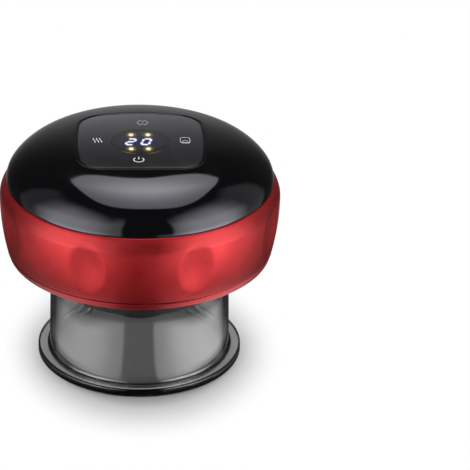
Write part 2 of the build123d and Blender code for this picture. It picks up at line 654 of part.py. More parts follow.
def cup():
    foot = CUP_RADIUS + CUP_FLARE
    neck = CUP_HEIGHT - CUP_NECK
    return turned(
        (FLANGE_RADIUS, 0, FLANGE_ROUND),
        (FLANGE_RADIUS, FLANGE_THICKNESS, FLANGE_ROUND),
        (foot, FLANGE_THICKNESS, FOOT_ROUND),
        (CUP_RADIUS, neck, 0),
        (CUP_RADIUS, CUP_HEIGHT, CUP_RIM_ROUND),
        (CUP_BORE, CUP_HEIGHT, CUP_RIM_ROUND),
        (CUP_BORE, neck, 0),
        (foot - CUP_WALL, 0, FLANGE_ROUND),
    )


def chamber_insert():
    groove_bottom = CUP_BORE - SEAL_CUP_GAP - SEAL_SECTION - SEAL_GROOVE_FIT / 2
    groove_half = SEAL_SECTION / 2 + SEAL_GROOVE_FIT
    inner = INSERT_RADIUS - INSERT_WALL
    well_outer = WELL_RADIUS + WELL_WALL
    plate_top = PLATE_HEIGHT + PLATE_THICKNESS
    insert = turned(
        (WELL_RADIUS, PLATE_HEIGHT, PLATE_ROUND),
        (INSERT_RADIUS, PLATE_HEIGHT, PLATE_ROUND),
        (INSERT_RADIUS, SEAL_HEIGHT - groove_half, 0),
        (groove_bottom, SEAL_HEIGHT - groove_half, 0),
        (groove_bottom, SEAL_HEIGHT + groove_half, 0),
        (INSERT_RADIUS, SEAL_HEIGHT + groove_half, 0),
        (INSERT_RADIUS, BASE_CEILING, 0),
        (inner, BASE_CEILING, 0),
        (inner, SEAL_HEIGHT + groove_half + INSERT_WALL, 0),
        (groove_bottom - INSERT_WALL, SEAL_HEIGHT + groove_half, 0),
        (groove_bottom - INSERT_WALL, plate_top, 0),
        (well_outer, plate_top, 0),
        (well_outer, WELL_FLOOR_HEIGHT + WELL_FLOOR, 0),
        (WIRE_HOLE_RADIUS, WELL_FLOOR_HEIGHT + WELL_FLOOR, 0),
        (WIRE_HOLE_RADIUS, WELL_FLOOR_HEIGHT, 0),
        (WELL_RADIUS, WELL_FLOOR_HEIGHT, 0),
    )
    for angle in INSERT_SCREW_ANGLES:
        x, y = polar(INSERT_SCREW_SPOT, angle)
        insert += drum(INSERT_BOSS_RADIUS, PLATE_HEIGHT + PLATE_THICKNESS / 2, BASE_CEILING, x, y)
        insert -= pilot(INSERT_SCREW, x, y, BASE_FLOOR)
    for x in (-HEAD_BOSS_SPOT, HEAD_BOSS_SPOT):
        insert -= pilot(SMALL_SCREW, x, 0, WELL_FLOOR_HEIGHT + WELL_FLOOR)
    insert += drum(NIPPLE_COLUMN_RADIUS, PLATE_HEIGHT + PLATE_THICKNESS / 2, BASE_CEILING, *SUCTION_SPOT)
    nipple_top = TEE_HEIGHT - TEE_ARM - HOSE_END_GAP
    insert += drum(BARB_RADIUS, BASE_CEILING - BASE_WALL, nipple_top, *SUCTION_SPOT)
    insert -= drum(SUCTION_RADIUS, PLATE_HEIGHT - OVERRUN, BASE_CEILING - BASE_WALL, *SUCTION_SPOT)
    insert -= drum(BARB_BORE, PLATE_HEIGHT, nipple_top + OVERRUN, *SUCTION_SPOT)
    return insert


def insert_screws():
    return [Pos(*polar(INSERT_SCREW_SPOT, a), BASE_FLOOR) * screw(INSERT_SCREW) for a in INSERT_SCREW_ANGLES]


def cup_seal():
    middle = CUP_BORE - SEAL_CUP_GAP - SEAL_SECTION / 2
    return spin(Pos(middle, SEAL_HEIGHT) * Circle(SEAL_SECTION / 2))


def suction_filter():
    low = PLATE_HEIGHT + FILTER_RISE
    return drum(SUCTION_RADIUS - SCREW_FIT, low, low + FILTER_THICKNESS, *SUCTION_SPOT)


def head_levels():
    """Heights of the head's pockets: the plate, the heater and the magnet, from below."""
    heater = HEAD_FACE_HEIGHT + WARM_PLATE_THICKNESS + STACK_GAP
    step = heater + HEATER_THICKNESS + STACK_GAP
    web = step + MAGNET_THICKNESS + STACK_GAP
    return heater, step, web


def head_body():
    _, step, web = head_levels()
    pocket = HEAD_RADIUS - HEAD_RIM
    hollow = HEAD_RADIUS - HEAD_WALL
    top = WELL_FLOOR_HEIGHT
    body = turned(
        (pocket, HEAD_FACE_HEIGHT + HEAD_RECESS, 0),
        (HEAD_RADIUS, HEAD_FACE_HEIGHT + HEAD_RECESS, HEAD_RECESS),
        (HEAD_RADIUS, top, 0),
        (hollow, top, 0),
        (hollow, web + HEAD_WEB, 0),
        (0, web + HEAD_WEB, 0),
        (0, web, 0),
        (pocket - HEAD_STEP, web, 0),
        (pocket - HEAD_STEP, step, 0),
        (pocket, step, 0),
    )
    for x in (-HEAD_BOSS_SPOT, HEAD_BOSS_SPOT):
        body += drum(HEAD_BOSS_RADIUS, web + HEAD_WEB / 2, top, x, 0)
        body -= pilot(SMALL_SCREW, x, 0, top + WELL_FLOOR)
    return body


def warm_plate():
    pocket = HEAD_RADIUS - HEAD_RIM - SCREW_FIT
    face, top = HEAD_FACE_HEIGHT, HEAD_FACE_HEIGHT + WARM_PLATE_THICKNESS
    return turned((0, face, 0), (pocket, face, HEAD_RECESS), (pocket, top, 0), (0, top, 0))


def heater_disc():
    heater, _, _ = head_levels()
    return drum(HEAD_RADIUS - HEAD_RIM - STACK_GAP, heater, heater + HEATER_THICKNESS)


def head_magnet():
    _, step, _ = head_levels()
    return drum(HEAD_RADIUS - HEAD_RIM - HEAD_STEP - STACK_GAP, step, step + MAGNET_THICKNESS)


def light_board():
    inner = WELL_RADIUS - LIGHT_BOARD_WIDTH - FIT
    return pipe(WELL_RADIUS - FIT, inner, WELL_FLOOR_HEIGHT - LIGHT_BOARD_THICKNESS, WELL_FLOOR_HEIGHT)


def lights():
    spot = WELL_RADIUS - FIT - LIGHT_BOARD_WIDTH / 2
    top = WELL_FLOOR_HEIGHT - LIGHT_BOARD_THICKNESS
    half = LIGHT_SIDE / 2
    light = block((spot - half, -half, top - LIGHT_THICKNESS), (spot + half, half, top))
    return [Rot(0, 0, place * 360 / LIGHT_COUNT) * light for place in range(LIGHT_COUNT)]


def light_window():
    top = WELL_FLOOR_HEIGHT - LIGHT_BOARD_THICKNESS - LIGHT_THICKNESS - WINDOW_DROP
    return pipe(WELL_RADIUS - FIT, HEAD_RADIUS + FIT, top - WINDOW_THICKNESS, top)


# Boards, display and socket


def main_board():
    board = drum(BOARD_RADIUS, BOARD_HEIGHT, BOARD_TOP)
    for angle in BOARD_SCREW_ANGLES:
        x, y = polar(BOARD_SCREW_SPOT, angle)
        board -= drum(SMALL_SCREW[0] + SCREW_FIT, BOARD_HEIGHT - OVERRUN, BOARD_TOP + OVERRUN, x, y)
    return board


def small_screws():
    """The equal screws of the head, the main board, the charging board and the valve."""
    head_seat = WELL_FLOOR_HEIGHT + WELL_FLOOR
    charge_seat = SOCKET_HEIGHT - SOCKET_SIZE[2] / 2
    valve_seat = VALVE_Z - VALVE_SIDE / 2 + YOKE_THICKNESS
    post_x, post_y = CHARGE_POST_SPOT
    places = [(x, 0, head_seat) for x in (-HEAD_BOSS_SPOT, HEAD_BOSS_SPOT)]
    places += [(x, post_y, charge_seat) for x in (-post_x, post_x)]
    places += [(x, VALVE_Y, valve_seat) for x in VALVE_SCREW_SPOTS]
    screws = [Pos(*place) * screw(SMALL_SCREW) for place in places]
    upward = Rot(180, 0, 0) * screw(SMALL_SCREW)
    for angle in BOARD_SCREW_ANGLES:
        screws.append(Pos(*polar(BOARD_SCREW_SPOT, angle), BOARD_HEIGHT) * upward)
    return screws


def control_chip():
    width, depth, height = CHIP_SIZE
    x, y = CHIP_SPOT
    low = (x - width / 2, y - depth / 2, BOARD_HEIGHT - height)
    return block(low, (x + width / 2, y + depth / 2, BOARD_HEIGHT))


def panel_underside(gap):
    """Everything above the board that lies more than the given gap under the panel."""
    return dome_solid(PANEL_THICKNESS + gap)


def display_frame():
    x, y = DISPLAY_SPOT
    width, depth = DIGIT_BLOCK
    body = drum(DISPLAY_RADIUS, BOARD_TOP, CROWN_HEIGHT, x, y) & panel_underside(DISPLAY_TOP_GAP)
    low = (x - width / 2 - FIT, y - depth / 2 - FIT, BOARD_TOP - OVERRUN)
    body -= block(low, (x + width / 2 + FIT, y + depth / 2 + FIT, CROWN_HEIGHT))
    for spot_x, spot_y in LEVEL_SPOTS:
        wide, deep, _ = LEVEL_SIZE
        low = (x + spot_x - wide / 2 - FIT, y + spot_y - deep / 2 - FIT, BOARD_TOP - OVERRUN)
        body -= block(low, (x + spot_x + wide / 2 + FIT, y + spot_y + deep / 2 + FIT, CROWN_HEIGHT))
    return body


def digit_block():
    x, y = DISPLAY_SPOT
    width, depth = DIGIT_BLOCK
    low = (x - width / 2, y - depth / 2, BOARD_TOP)
    return block(low, (x + width / 2, y + depth / 2, CROWN_HEIGHT)) & panel_underside(DISPLAY_TOP_GAP)


def level_lights():
    wide, deep, tall = LEVEL_SIZE
    x, y = DISPLAY_SPOT
    light = block((x - wide / 2, y - deep / 2, BOARD_TOP), (x + wide / 2, y + deep / 2, BOARD_TOP + tall))
    return [Pos(*spot) * light for spot in LEVEL_SPOTS]


def key_pads():
    underside = panel_underside(STACK_GAP)
    return [drum(KEY_PAD_RADIUS, BOARD_TOP, CROWN_HEIGHT, x, y) & underside for x, y in KEY_SPOTS]


def socket_mouth():
    """The Y place of the socket's mouth, just inside the ring's skin."""
    return BODY_RADIUS - SOCKET_INSET


def usb_socket():
    width, depth, height = SOCKET_SIZE
    tongue_width, tongue_depth, tongue_height = SOCKET_TONGUE
    mouth = socket_mouth()
    back = mouth - depth

    def can(shrink, start, end):
        shape = SlotOverall(width - 2 * shrink, height - 2 * shrink)
        return Pos(0, end, SOCKET_HEIGHT) * Rot(90, 0, 0) * extrude(shape, end - start)

    shell = can(0, back, mouth) - can(SOCKET_WALL, back + SOCKET_WALL, mouth + OVERRUN)
    low = (-tongue_width / 2, back, SOCKET_HEIGHT - tongue_height / 2)
    return shell + block(low, (tongue_width / 2, back + tongue_depth, SOCKET_HEIGHT + tongue_height / 2))


def charge_board():
    width, depth, thickness = CHARGE_BOARD
    top = SOCKET_HEIGHT - SOCKET_SIZE[2] / 2
    back = socket_mouth() - CHARGE_BOARD_SET_BACK
    board = block((-width / 2, back - depth, top - thickness), (width / 2, back, top))
    post_x, post_y = CHARGE_POST_SPOT
    for x in (-post_x, post_x):
        board -= pilot(SMALL_SCREW, x, post_y, top)
    return board


# Battery, and the straps that hold it and the motor


def battery_cell():
    body = bar(CELL_RADIUS, -CELL_LENGTH / 2, CELL_LENGTH / 2 - CELL_CAP_LENGTH, CELL_Y, CELL_Z)
    return body + bar(CELL_CAP_RADIUS, 0, CELL_LENGTH / 2, CELL_Y, CELL_Z)


def battery_tabs():
    depth, height = TAB_SIZE
    tabs = []
    for end in (-CELL_LENGTH / 2 - TAB_THICKNESS, CELL_LENGTH / 2):
        low = (end, CELL_Y - depth / 2, CELL_Z - height / 2)
        tabs.append(block(low, (end + TAB_THICKNESS, CELL_Y + depth / 2, CELL_Z + height / 2)))
    return tabs


def strap(x, y, z, radius):
    """A half band over a round body lying along X, with a leg and a foot on each side."""
    inner = radius + CRADLE_GAP
    outer = inner + STRAP_THICKNESS
    left, right = x - STRAP_WIDTH / 2, x + STRAP_WIDTH / 2
    foot_top = STRAP_FOOT_HEIGHT + STRAP_THICKNESS
    band = bar(outer, left, right, y, z) + block((left, y - outer, STRAP_FOOT_HEIGHT), (right, y + outer, z))
    band -= bar(inner, left - OVERRUN, right + OVERRUN, y, z)
    band -= block((left - OVERRUN, y - inner, STRAP_FOOT_HEIGHT - OVERRUN), (right + OVERRUN, y + inner, z))
    for low, high in ((y - outer - STRAP_FOOT, y - inner), (y + inner, y + outer + STRAP_FOOT)):
        band += block((left, low, STRAP_FOOT_HEIGHT), (right, high, foot_top))
    for foot_y in strap_feet(y, radius):
        band -= pilot(STRAP_SCREW, x, foot_y, foot_top)
    return band


def motor_strap():
    return strap(*STRAPS[0])


def battery_strap():
    return strap(*STRAPS[1])


def strap_screws():
    seat = STRAP_FOOT_HEIGHT + STRAP_THICKNESS
    places = [(x, foot, seat) for x, y, _, radius in STRAPS for foot in strap_feet(y, radius)]
    return [Pos(*place) * screw(STRAP_SCREW) for place in places]


# Vacuum pump


def pump_slice(left, right):
    """A square slice of the pump with rounded corners and its four screw holes."""
    half = PUMP_SIDE / 2
    slab = block((left, PUMP_Y - half, PUMP_Z - half), (right, PUMP_Y + half, PUMP_Z + half))
    slab = fillet(slab.edges().filter_by(Axis.X), PUMP_CORNER)
    for y, z in pump_screw_places():
        slab -= bar(PUMP_SCREW[0] + SCREW_FIT, left - OVERRUN, right + OVERRUN, y, z)
    return slab


def pump_screw_places():
    signs = ((1, 1), (-1, 1), (-1, -1), (1, -1))
    return [(PUMP_Y + a * PUMP_SCREW_SPOT, PUMP_Z + b * PUMP_SCREW_SPOT) for a, b in signs]


def chamber_places(turn):
    """The centres of the pump's three chambers, turned round its axis."""
    return [(PUMP_Y + y, PUMP_Z + z) for y, z in (polar(STEM_SPOT, angle + turn) for angle in STEM_ANGLES)]


def pump_body():
    body = pump_slice(PUMP_BACK, PUMP_X)
    body -= bar(CAVITY_RADIUS, PUMP_BACK - OVERRUN, PUMP_X - PUMP_BODY_FLOOR, PUMP_Y, PUMP_Z)
    return body - bar(HUB_RADIUS + HUB_GAP, PUMP_BACK, PUMP_X + OVERRUN, PUMP_Y, PUMP_Z)


def tilted(shape):
    """A shape drawn about the X axis through the origin, laid on the tilted pin's axis."""
    return Pos(PIVOT_X, PUMP_Y, PUMP_Z) * Rot(0, -TILT, 0) * shape


def diaphragm():
    sheet = pump_slice(PUMP_BACK - SHEET_THICKNESS, PUMP_BACK)
    reach = PUMP_X - PUMP_BODY_FLOOR
    for y, z in chamber_places(0):
        sheet += bar(DIAPHRAGM_CUP_RADIUS, PUMP_BACK - SHEET_THICKNESS, PUMP_BACK + DIAPHRAGM_CUP_DEPTH, y, z)
        sheet -= bar(DIAPHRAGM_CUP_RADIUS - SHEET_THICKNESS, PUMP_BACK - OVERRUN, PUMP_BACK, y, z)
        sheet += bar(STEM_RADIUS, PUMP_BACK, reach, y, z)
    keep_out = bar(CAVITY_RADIUS, WOBBLE_BACK - STEM_GAP, PUMP_BODY_LENGTH, 0, 0)
    return sheet - tilted(keep_out)


def valve_plate():
    plate = pump_slice(COVER_X, PLATE_X)
    for y, z in chamber_places(-PORT_TURN) + chamber_places(PORT_TURN):
        plate -= bar(PORT_RADIUS, COVER_X - OVERRUN, PLATE_X + OVERRUN, y, z)
    return plate


def check_flaps():
    return [bar(FLAP_RADIUS, COVER_X - FLAP_THICKNESS, COVER_X, y, z) for y, z in chamber_places(PORT_TURN)]


def pump_cover():
    cover = pump_slice(PUMP_END, COVER_X)
    floor = COVER_X - CHAMBER_DEPTH
    cover -= bar(CHAMBER_RADIUS, floor, COVER_X + OVERRUN, PUMP_Y, PUMP_Z)
    cover += bar(OUTLET_RADIUS, floor - CHAMBER_WALL, COVER_X, PUMP_Y, PUMP_Z)
    cover -= bar(OUTLET_RADIUS - CHAMBER_WALL, floor, COVER_X + OVERRUN, PUMP_Y, PUMP_Z)
    cover += bar(BARB_RADIUS, PUMP_END - BARB_LENGTH / 2, PUMP_END + CHAMBER_WALL, PUMP_Y, PUMP_Z)
    cover -= bar(BARB_BORE, PUMP_END - OVERRUN, COVER_X, PUMP_Y, PUMP_Z)
    side = PUMP_Y - PUMP_SIDE / 2
    z = PUMP_Z + BARB_HEIGHT - PUMP_CORNER
    cover += spindle(BARB_RADIUS, side - BARB_LENGTH, side + CHAMBER_WALL, BARB_X, z)
    return cover - spindle(BARB_BORE, side - OVERRUN, PUMP_Y - OUTLET_RADIUS - CHAMBER_WALL, BARB_X, z)


def pump_screws():
    return [Pos(PUMP_END, y, z) * Rot(0, -90, 0) * screw(PUMP_SCREW) for y, z in pump_screw_places()]


def pump_pad():
    half = PUMP_SIDE / 2 - PUMP_CORNER
    return block((PUMP_END, PUMP_Y - half, BASE_FLOOR), (PUMP_X, PUMP_Y + half, BASE_FLOOR + PAD_THICKNESS))


# Motor


def motor_can():
    inner = CAN_RADIUS - CAN_WALL
    can = bar(CAN_RADIUS, PUMP_X, CAN_END, PUMP_Y, PUMP_Z)
    can += bar(CAN_BOSS_RADIUS, PUMP_X - CAN_BOSS_LENGTH, PUMP_X, PUMP_Y, PUMP_Z)
    can -= bar(inner, PUMP_X + CAN_WALL, CAN_END + OVERRUN, PUMP_Y, PUMP_Z)
    return can - bar(BUSH_RADIUS, PUMP_X - OVERRUN, PUMP_X + OVERRUN, PUMP_Y, PUMP_Z)


def bush_ends():
    """The X ranges of the front and rear bushes."""
    front = PUMP_X - CAN_BOSS_LENGTH
    return (front, front + BUSH_LENGTH), (CAN_END - BUSH_LENGTH, CAN_END)


def motor_bushes():
    bore = SHAFT_RADIUS + RUNNING_FIT
    return [sleeve(BUSH_RADIUS, bore, left, right, PUMP_Y, PUMP_Z) for left, right in bush_ends()]


def motor_end_cap():
    inner = CAN_RADIUS - CAN_WALL - SCREW_FIT
    cap = bar(inner, CAN_END - END_CAP_THICKNESS, CAN_END, PUMP_Y, PUMP_Z)
    cap -= bar(BUSH_RADIUS, CAN_END - OVERRUN, CAN_END + OVERRUN, PUMP_Y, PUMP_Z)
    for side in (-TERMINAL_SPOT, TERMINAL_SPOT):
        cap -= terminal(side, SCREW_FIT, OVERRUN)
    return cap


def terminal(side, grow, longer):
    """A flat terminal through the end cap, grown all round and lengthened at both ends."""
    length, thickness, height = TERMINAL_SIZE
    inner = CAN_END - END_CAP_THICKNESS
    wide, high = thickness / 2 + grow, height / 2 + grow
    near = (inner - longer, PUMP_Y + side - wide, PUMP_Z - high)
    return block(near, (inner + length + longer, PUMP_Y + side + wide, PUMP_Z + high))


def motor_magnets():
    outer = CAN_RADIUS - CAN_WALL - SCREW_FIT
    inner = outer - MAGNET_WALL
    left = PUMP_X + MAGNET_SPOT
    right = left + MAGNET_LENGTH
    reach = CAN_RADIUS + OVERRUN
    half = inner * math.sin(math.radians((180 - MAGNET_SPREAD) / 2))
    gap = block((left - OVERRUN, -reach, -half), (right + OVERRUN, reach, half))
    return about_shaft(0, sleeve(outer, inner, left, right, 0, 0) - gap).solids()


def motor_shaft():
    return bar(SHAFT_RADIUS, SHAFT_START, CAN_END, PUMP_Y, PUMP_Z)


def armature_start():
    return PUMP_X + ARMATURE_SPOT


def pole_turns():
    return [place * 360 / POLE_COUNT for place in range(POLE_COUNT)]


def about_shaft(turn, shape):
    """A shape drawn about the X axis, turned round it and laid on the shaft."""
    return Pos(0, PUMP_Y, PUMP_Z) * Rot(turn, 0, 0) * shape


def armature():
    left = armature_start()
    right = left + ARMATURE_LENGTH
    rim = sleeve(ROTOR_RADIUS, ROTOR_RADIUS - POLE_TIP, left, right, 0, 0)
    core = bar(SHAFT_RADIUS + TOOTH_WIDTH / 2, left, right, 0, 0)
    tooth = block((left, -TOOTH_WIDTH / 2, 0), (right, TOOTH_WIDTH / 2, ROTOR_RADIUS - POLE_TIP / 2))
    slot = block((left - OVERRUN, -SLOT_WIDTH / 2, 0), (right + OVERRUN, SLOT_WIDTH / 2, CAN_RADIUS))
    for turn in pole_turns():
        core += Rot(turn, 0, 0) * tooth
        rim -= Rot(turn + 180, 0, 0) * slot
    core -= bar(SHAFT_RADIUS, left - OVERRUN, right + OVERRUN, 0, 0)
    return about_shaft(0, core + rim)


def armature_coils():
    left, right = armature_start(), armature_start() + ARMATURE_LENGTH
    low, high = SHAFT_RADIUS + TOOTH_WIDTH / 2 + COIL_WALL, ROTOR_RADIUS - POLE_TIP - STACK_GAP
    half = TOOTH_WIDTH / 2 + STACK_GAP
    side = half + COIL_WALL
    outer = block((left - COIL_OVERHANG, -side, low), (right + COIL_OVERHANG, side, high))
    inner = block((left - STACK_GAP, -half, low - OVERRUN), (right + STACK_GAP, half, high + OVERRUN))
    loop = fillet(outer.edges().filter_by(Axis.Z), COIL_WALL) - inner
    loop &= bar(high, left - OVERRUN, right + OVERRUN, 0, 0)
    return [about_shaft(turn, loop) for turn in pole_turns()]


def commutator():
    left = armature_start() + ARMATURE_LENGTH + COMMUTATOR_GAP
    return sleeve(COMMUTATOR_RADIUS, SHAFT_RADIUS, left, left + COMMUTATOR_LENGTH, PUMP_Y, PUMP_Z)


def motor_brushes():
    """The two brushes and the terminals that feed them."""
    length, width, height = BRUSH_SIZE
    right = CAN_END - END_CAP_THICKNESS
    start = COMMUTATOR_RADIUS + SCREW_FIT
    brush = block((right - length, -width / 2, start), (right, width / 2, start + height))
    brushes = [about_shaft(turn, brush) for turn in (90, 270)]
    return brushes + [terminal(side, 0, 0) for side in (-TERMINAL_SPOT, TERMINAL_SPOT)]


def crank_hub():
    hub = bar(HUB_RADIUS, HUB_START, HUB_END, PUMP_Y, PUMP_Z)
    hub -= bar(SHAFT_RADIUS, SHAFT_START, HUB_END + OVERRUN, PUMP_Y, PUMP_Z)
    return hub - tilted(bar(PIN_RADIUS, 0, SHAFT_START - PIN_CLEAR - PIVOT_X, 0, 0))


def crank_pin():
    start = WOBBLE_BACK + PIN_CLEAR
    return tilted(bar(PIN_RADIUS, start, SHAFT_START - PIN_CLEAR - PIVOT_X, 0, 0))


def wobble_plate():
    left, right = WOBBLE_BACK, WOBBLE_BACK + WOBBLE_THICKNESS
    plate = bar(WOBBLE_HUB_RADIUS, left, right, 0, 0)
    for angle in STEM_ANGLES:
        half = WOBBLE_ARM_WIDTH / 2
        arm = block((left, 0, -half), (right, WOBBLE_RADIUS - half, half))
        arm += bar(half, left, right, WOBBLE_RADIUS - half, 0)
        plate += Rot(angle, 0, 0) * arm
    plate += bar(WOBBLE_BOSS_RADIUS, right, right + WOBBLE_BOSS_LENGTH, 0, 0)
    plate -= bar(PIN_RADIUS + PIN_FIT, left + PIN_CLEAR / 2, right + OVERRUN, 0, 0)
    return tilted(plate)


# Release valve


def valve_yoke():
    half, tab = VALVE_SIDE / 2, VALVE_TAB / 2
    low, high = VALVE_Z - half, VALVE_Z + half
    floor = low + YOKE_THICKNESS
    yoke = block((VALVE_LEFT, VALVE_Y - half, low), (VALVE_RIGHT, VALVE_Y + half, high))
    left, right = coil_ends()
    yoke -= block((left, VALVE_Y - half - OVERRUN, floor), (right, VALVE_Y + half + OVERRUN, high + OVERRUN))
    yoke -= bar(PLUNGER_STEM + PIN_FIT, VALVE_LEFT - OVERRUN, VALVE_LEFT + OVERRUN, VALVE_Y, VALVE_Z)
    yoke -= bar(COIL_BORE, right - OVERRUN, VALVE_RIGHT + OVERRUN, VALVE_Y, VALVE_Z)
    near = (VALVE_LEFT - VALVE_TAB, VALVE_Y - tab, low)
    yoke += block(near, (VALVE_RIGHT + VALVE_TAB, VALVE_Y + tab, floor))
    for x in VALVE_SCREW_SPOTS:
        yoke -= pilot(SMALL_SCREW, x, VALVE_Y, floor)
    return yoke


def coil_ends():
    """The X range between the yoke's two cheeks."""
    return VALVE_LEFT + YOKE_THICKNESS, VALVE_RIGHT - YOKE_THICKNESS


def valve_bobbin():
    left, right = coil_ends()
    waist = COIL_BORE + COIL_WAIST
    bobbin = bar(waist, left, right, VALVE_Y, VALVE_Z)
    bobbin += bar(COIL_RADIUS, left, left + FLANGE_WALL, VALVE_Y, VALVE_Z)
    bobbin += bar(COIL_RADIUS, right - FLANGE_WALL, right, VALVE_Y, VALVE_Z)
    return bobbin - bar(COIL_BORE, left - OVERRUN, right + OVERRUN, VALVE_Y, VALVE_Z)


def valve_winding():
    left, right = coil_ends()
    ends = FLANGE_WALL + SCREW_FIT
    bore = COIL_BORE + COIL_WAIST + SCREW_FIT
    return sleeve(COIL_RADIUS - COIL_WAIST, bore, left + ends, right - ends, VALVE_Y, VALVE_Z)


def seat_face():
    return VALVE_RIGHT - SEAT_REACH


def valve_nozzle():
    right = VALVE_RIGHT
    tip = SUCTION_SPOT[0] - TEE_ARM - HOSE_END_GAP
    body = bar(COIL_BORE - SCREW_FIT, seat_face() + FLANGE_WALL, right, VALVE_Y, VALVE_Z)
    body += bar(SEAT_RADIUS, seat_face(), seat_face() + FLANGE_WALL, VALVE_Y, VALVE_Z)
    body += bar(COIL_RADIUS - COIL_WAIST, right, right + FLANGE_WALL, VALVE_Y, VALVE_Z)
    body += bar(BARB_RADIUS, right, tip, VALVE_Y, VALVE_Z)
    return body - bar(BARB_BORE, seat_face() - OVERRUN, tip + OVERRUN, VALVE_Y, VALVE_Z)


def plunger_right():
    return seat_face() - SEAT_GAP


def valve_plunger():
    right = plunger_right()
    stem_left = VALVE_LEFT + SPRING_GAP
    plunger = bar(PLUNGER_RADIUS, right - PLUNGER_LENGTH, right, VALVE_Y, VALVE_Z)
    return plunger + bar(PLUNGER_STEM, stem_left, right - PLUNGER_LENGTH, VALVE_Y, VALVE_Z)


def valve_spring():
    left = VALVE_LEFT + YOKE_THICKNESS + SPRING_GAP
    right = plunger_right() - PLUNGER_LENGTH - SPRING_GAP
    bore = PLUNGER_STEM + SPRING_GAP
    return sleeve(bore + SPRING_WALL, bore, left, right, VALVE_Y, VALVE_Z)


# Air hoses


def hose_tee():
    x, y = SUCTION_SPOT
    tee = drum(TEE_RADIUS, TEE_HEIGHT - TEE_BODY, TEE_HEIGHT + TEE_BODY, x, y)
    tee += bar(TEE_RADIUS, x - TEE_BODY, x, y, TEE_HEIGHT)
    tee += drum(BARB_RADIUS, TEE_HEIGHT - TEE_ARM, TEE_HEIGHT + TEE_ARM, x, y)
    tee += bar(BARB_RADIUS, x - TEE_ARM, x, y, TEE_HEIGHT)
    tee -= drum(BARB_BORE, TEE_HEIGHT - TEE_ARM - OVERRUN, TEE_HEIGHT + TEE_ARM + OVERRUN, x, y)
    return tee - bar(BARB_BORE, x - TEE_ARM - OVERRUN, x, y, TEE_HEIGHT)


def suction_hose():
    top = TEE_HEIGHT - TEE_BODY - HOSE_END_GAP
    return pipe(HOSE_RADIUS, HOSE_BORE, BASE_FLOOR + HOSE_END_GAP, top, *SUCTION_SPOT)


def valve_hose():
    left = VALVE_RIGHT + FLANGE_WALL + HOSE_END_GAP
    right = SUCTION_SPOT[0] - TEE_BODY - HOSE_END_GAP
    return sleeve(HOSE_RADIUS, HOSE_BORE, left, right, VALVE_Y, TEE_HEIGHT)


def pump_hose():
    x, y = SUCTION_SPOT
    barb_z = PUMP_Z + BARB_HEIGHT - PUMP_CORNER
    start = (x, y, TEE_HEIGHT + TEE_BODY + HOSE_END_GAP)
    end = (BARB_X, PUMP_Y - PUMP_SIDE / 2 - HOSE_END_GAP, barb_z)
    points = [start, (x, y, PUMP_HOSE_TOP), (BARB_X, PUMP_HOSE_OUT, barb_z), end]
    path = FilletPolyline(*points, radius=bend_radii(points))
    return sweep_tube(path, start)


def bend_radii(points):
    """For each corner of a route, the largest arc that its two runs allow."""
    radii = []
    for before, corner, after in zip(points, points[1:], points[2:]):
        into, out = Vector(*corner) - Vector(*before), Vector(*after) - Vector(*corner)
        turn = math.radians(into.get_angle(out))
        radii.append(HOSE_BEND_SHARE * min(into.length, out.length) / math.tan(turn / 2))
    return radii


def sweep_tube(path, start):
    """A hose along a path that leaves its start straight up."""
    mouth = Pos(*start) * (Circle(HOSE_RADIUS) - Circle(HOSE_BORE))
    return sweep(mouth, path=path)


PARTS = (
    top_cover, control_panel, side_ring, bottom_cover, case_screws, cup, cup_seal, chamber_insert,
    insert_screws, suction_filter, head_body, warm_plate, heater_disc, head_magnet, light_board,
    lights, light_window, main_board, small_screws, control_chip, display_frame, digit_block,
    level_lights, key_pads, usb_socket, charge_board, battery_cell, battery_tabs, battery_strap,
    motor_strap, strap_screws, pump_body, diaphragm, valve_plate, check_flaps, pump_cover,
    pump_screws, pump_pad, motor_can, motor_bushes, motor_end_cap, motor_magnets, motor_brushes,
    motor_shaft, armature, armature_coils, commutator, crank_hub, crank_pin, wobble_plate,
    valve_yoke, valve_bobbin, valve_winding, valve_nozzle, valve_plunger, valve_spring, hose_tee,
    suction_hose, valve_hose, pump_hose,
)

os.makedirs("parts", exist_ok=True)
for build in PARTS:
    shape = build()
    if isinstance(shape, list):
        shape = Compound(children=shape)
    export_step(shape, f"parts/{build.__name__}.step")
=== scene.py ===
"""Looks of an electric cupping massager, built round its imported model.
Lengths are in millimetres until a mesh is made. The room and the camera are in metres."""
import math

import bpy
import numpy as np
from mathutils import Matrix, Vector


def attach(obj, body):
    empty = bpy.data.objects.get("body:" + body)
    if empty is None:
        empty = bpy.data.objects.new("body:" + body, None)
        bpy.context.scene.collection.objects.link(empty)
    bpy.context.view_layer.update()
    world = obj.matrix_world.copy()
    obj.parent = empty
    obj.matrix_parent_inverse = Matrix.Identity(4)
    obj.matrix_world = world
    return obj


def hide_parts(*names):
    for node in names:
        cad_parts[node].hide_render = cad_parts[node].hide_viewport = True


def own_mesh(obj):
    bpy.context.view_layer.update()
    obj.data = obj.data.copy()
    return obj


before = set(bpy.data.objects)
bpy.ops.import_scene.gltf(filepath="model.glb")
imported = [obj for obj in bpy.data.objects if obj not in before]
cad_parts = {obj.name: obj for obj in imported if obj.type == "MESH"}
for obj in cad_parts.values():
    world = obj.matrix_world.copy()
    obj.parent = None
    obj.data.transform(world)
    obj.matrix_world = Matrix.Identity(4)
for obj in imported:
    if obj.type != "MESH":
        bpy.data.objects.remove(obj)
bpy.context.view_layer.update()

MM = 0.001
TURN = 2 * math.pi
CREASE = math.radians(38)  # edges sharper than this stay sharp
QUARTERS, DIAGONALS = np.radians([0, 90, 180, 270]), np.radians([45, 135, 225, 315])
WHITE = EVEN = (1, 1, 1)

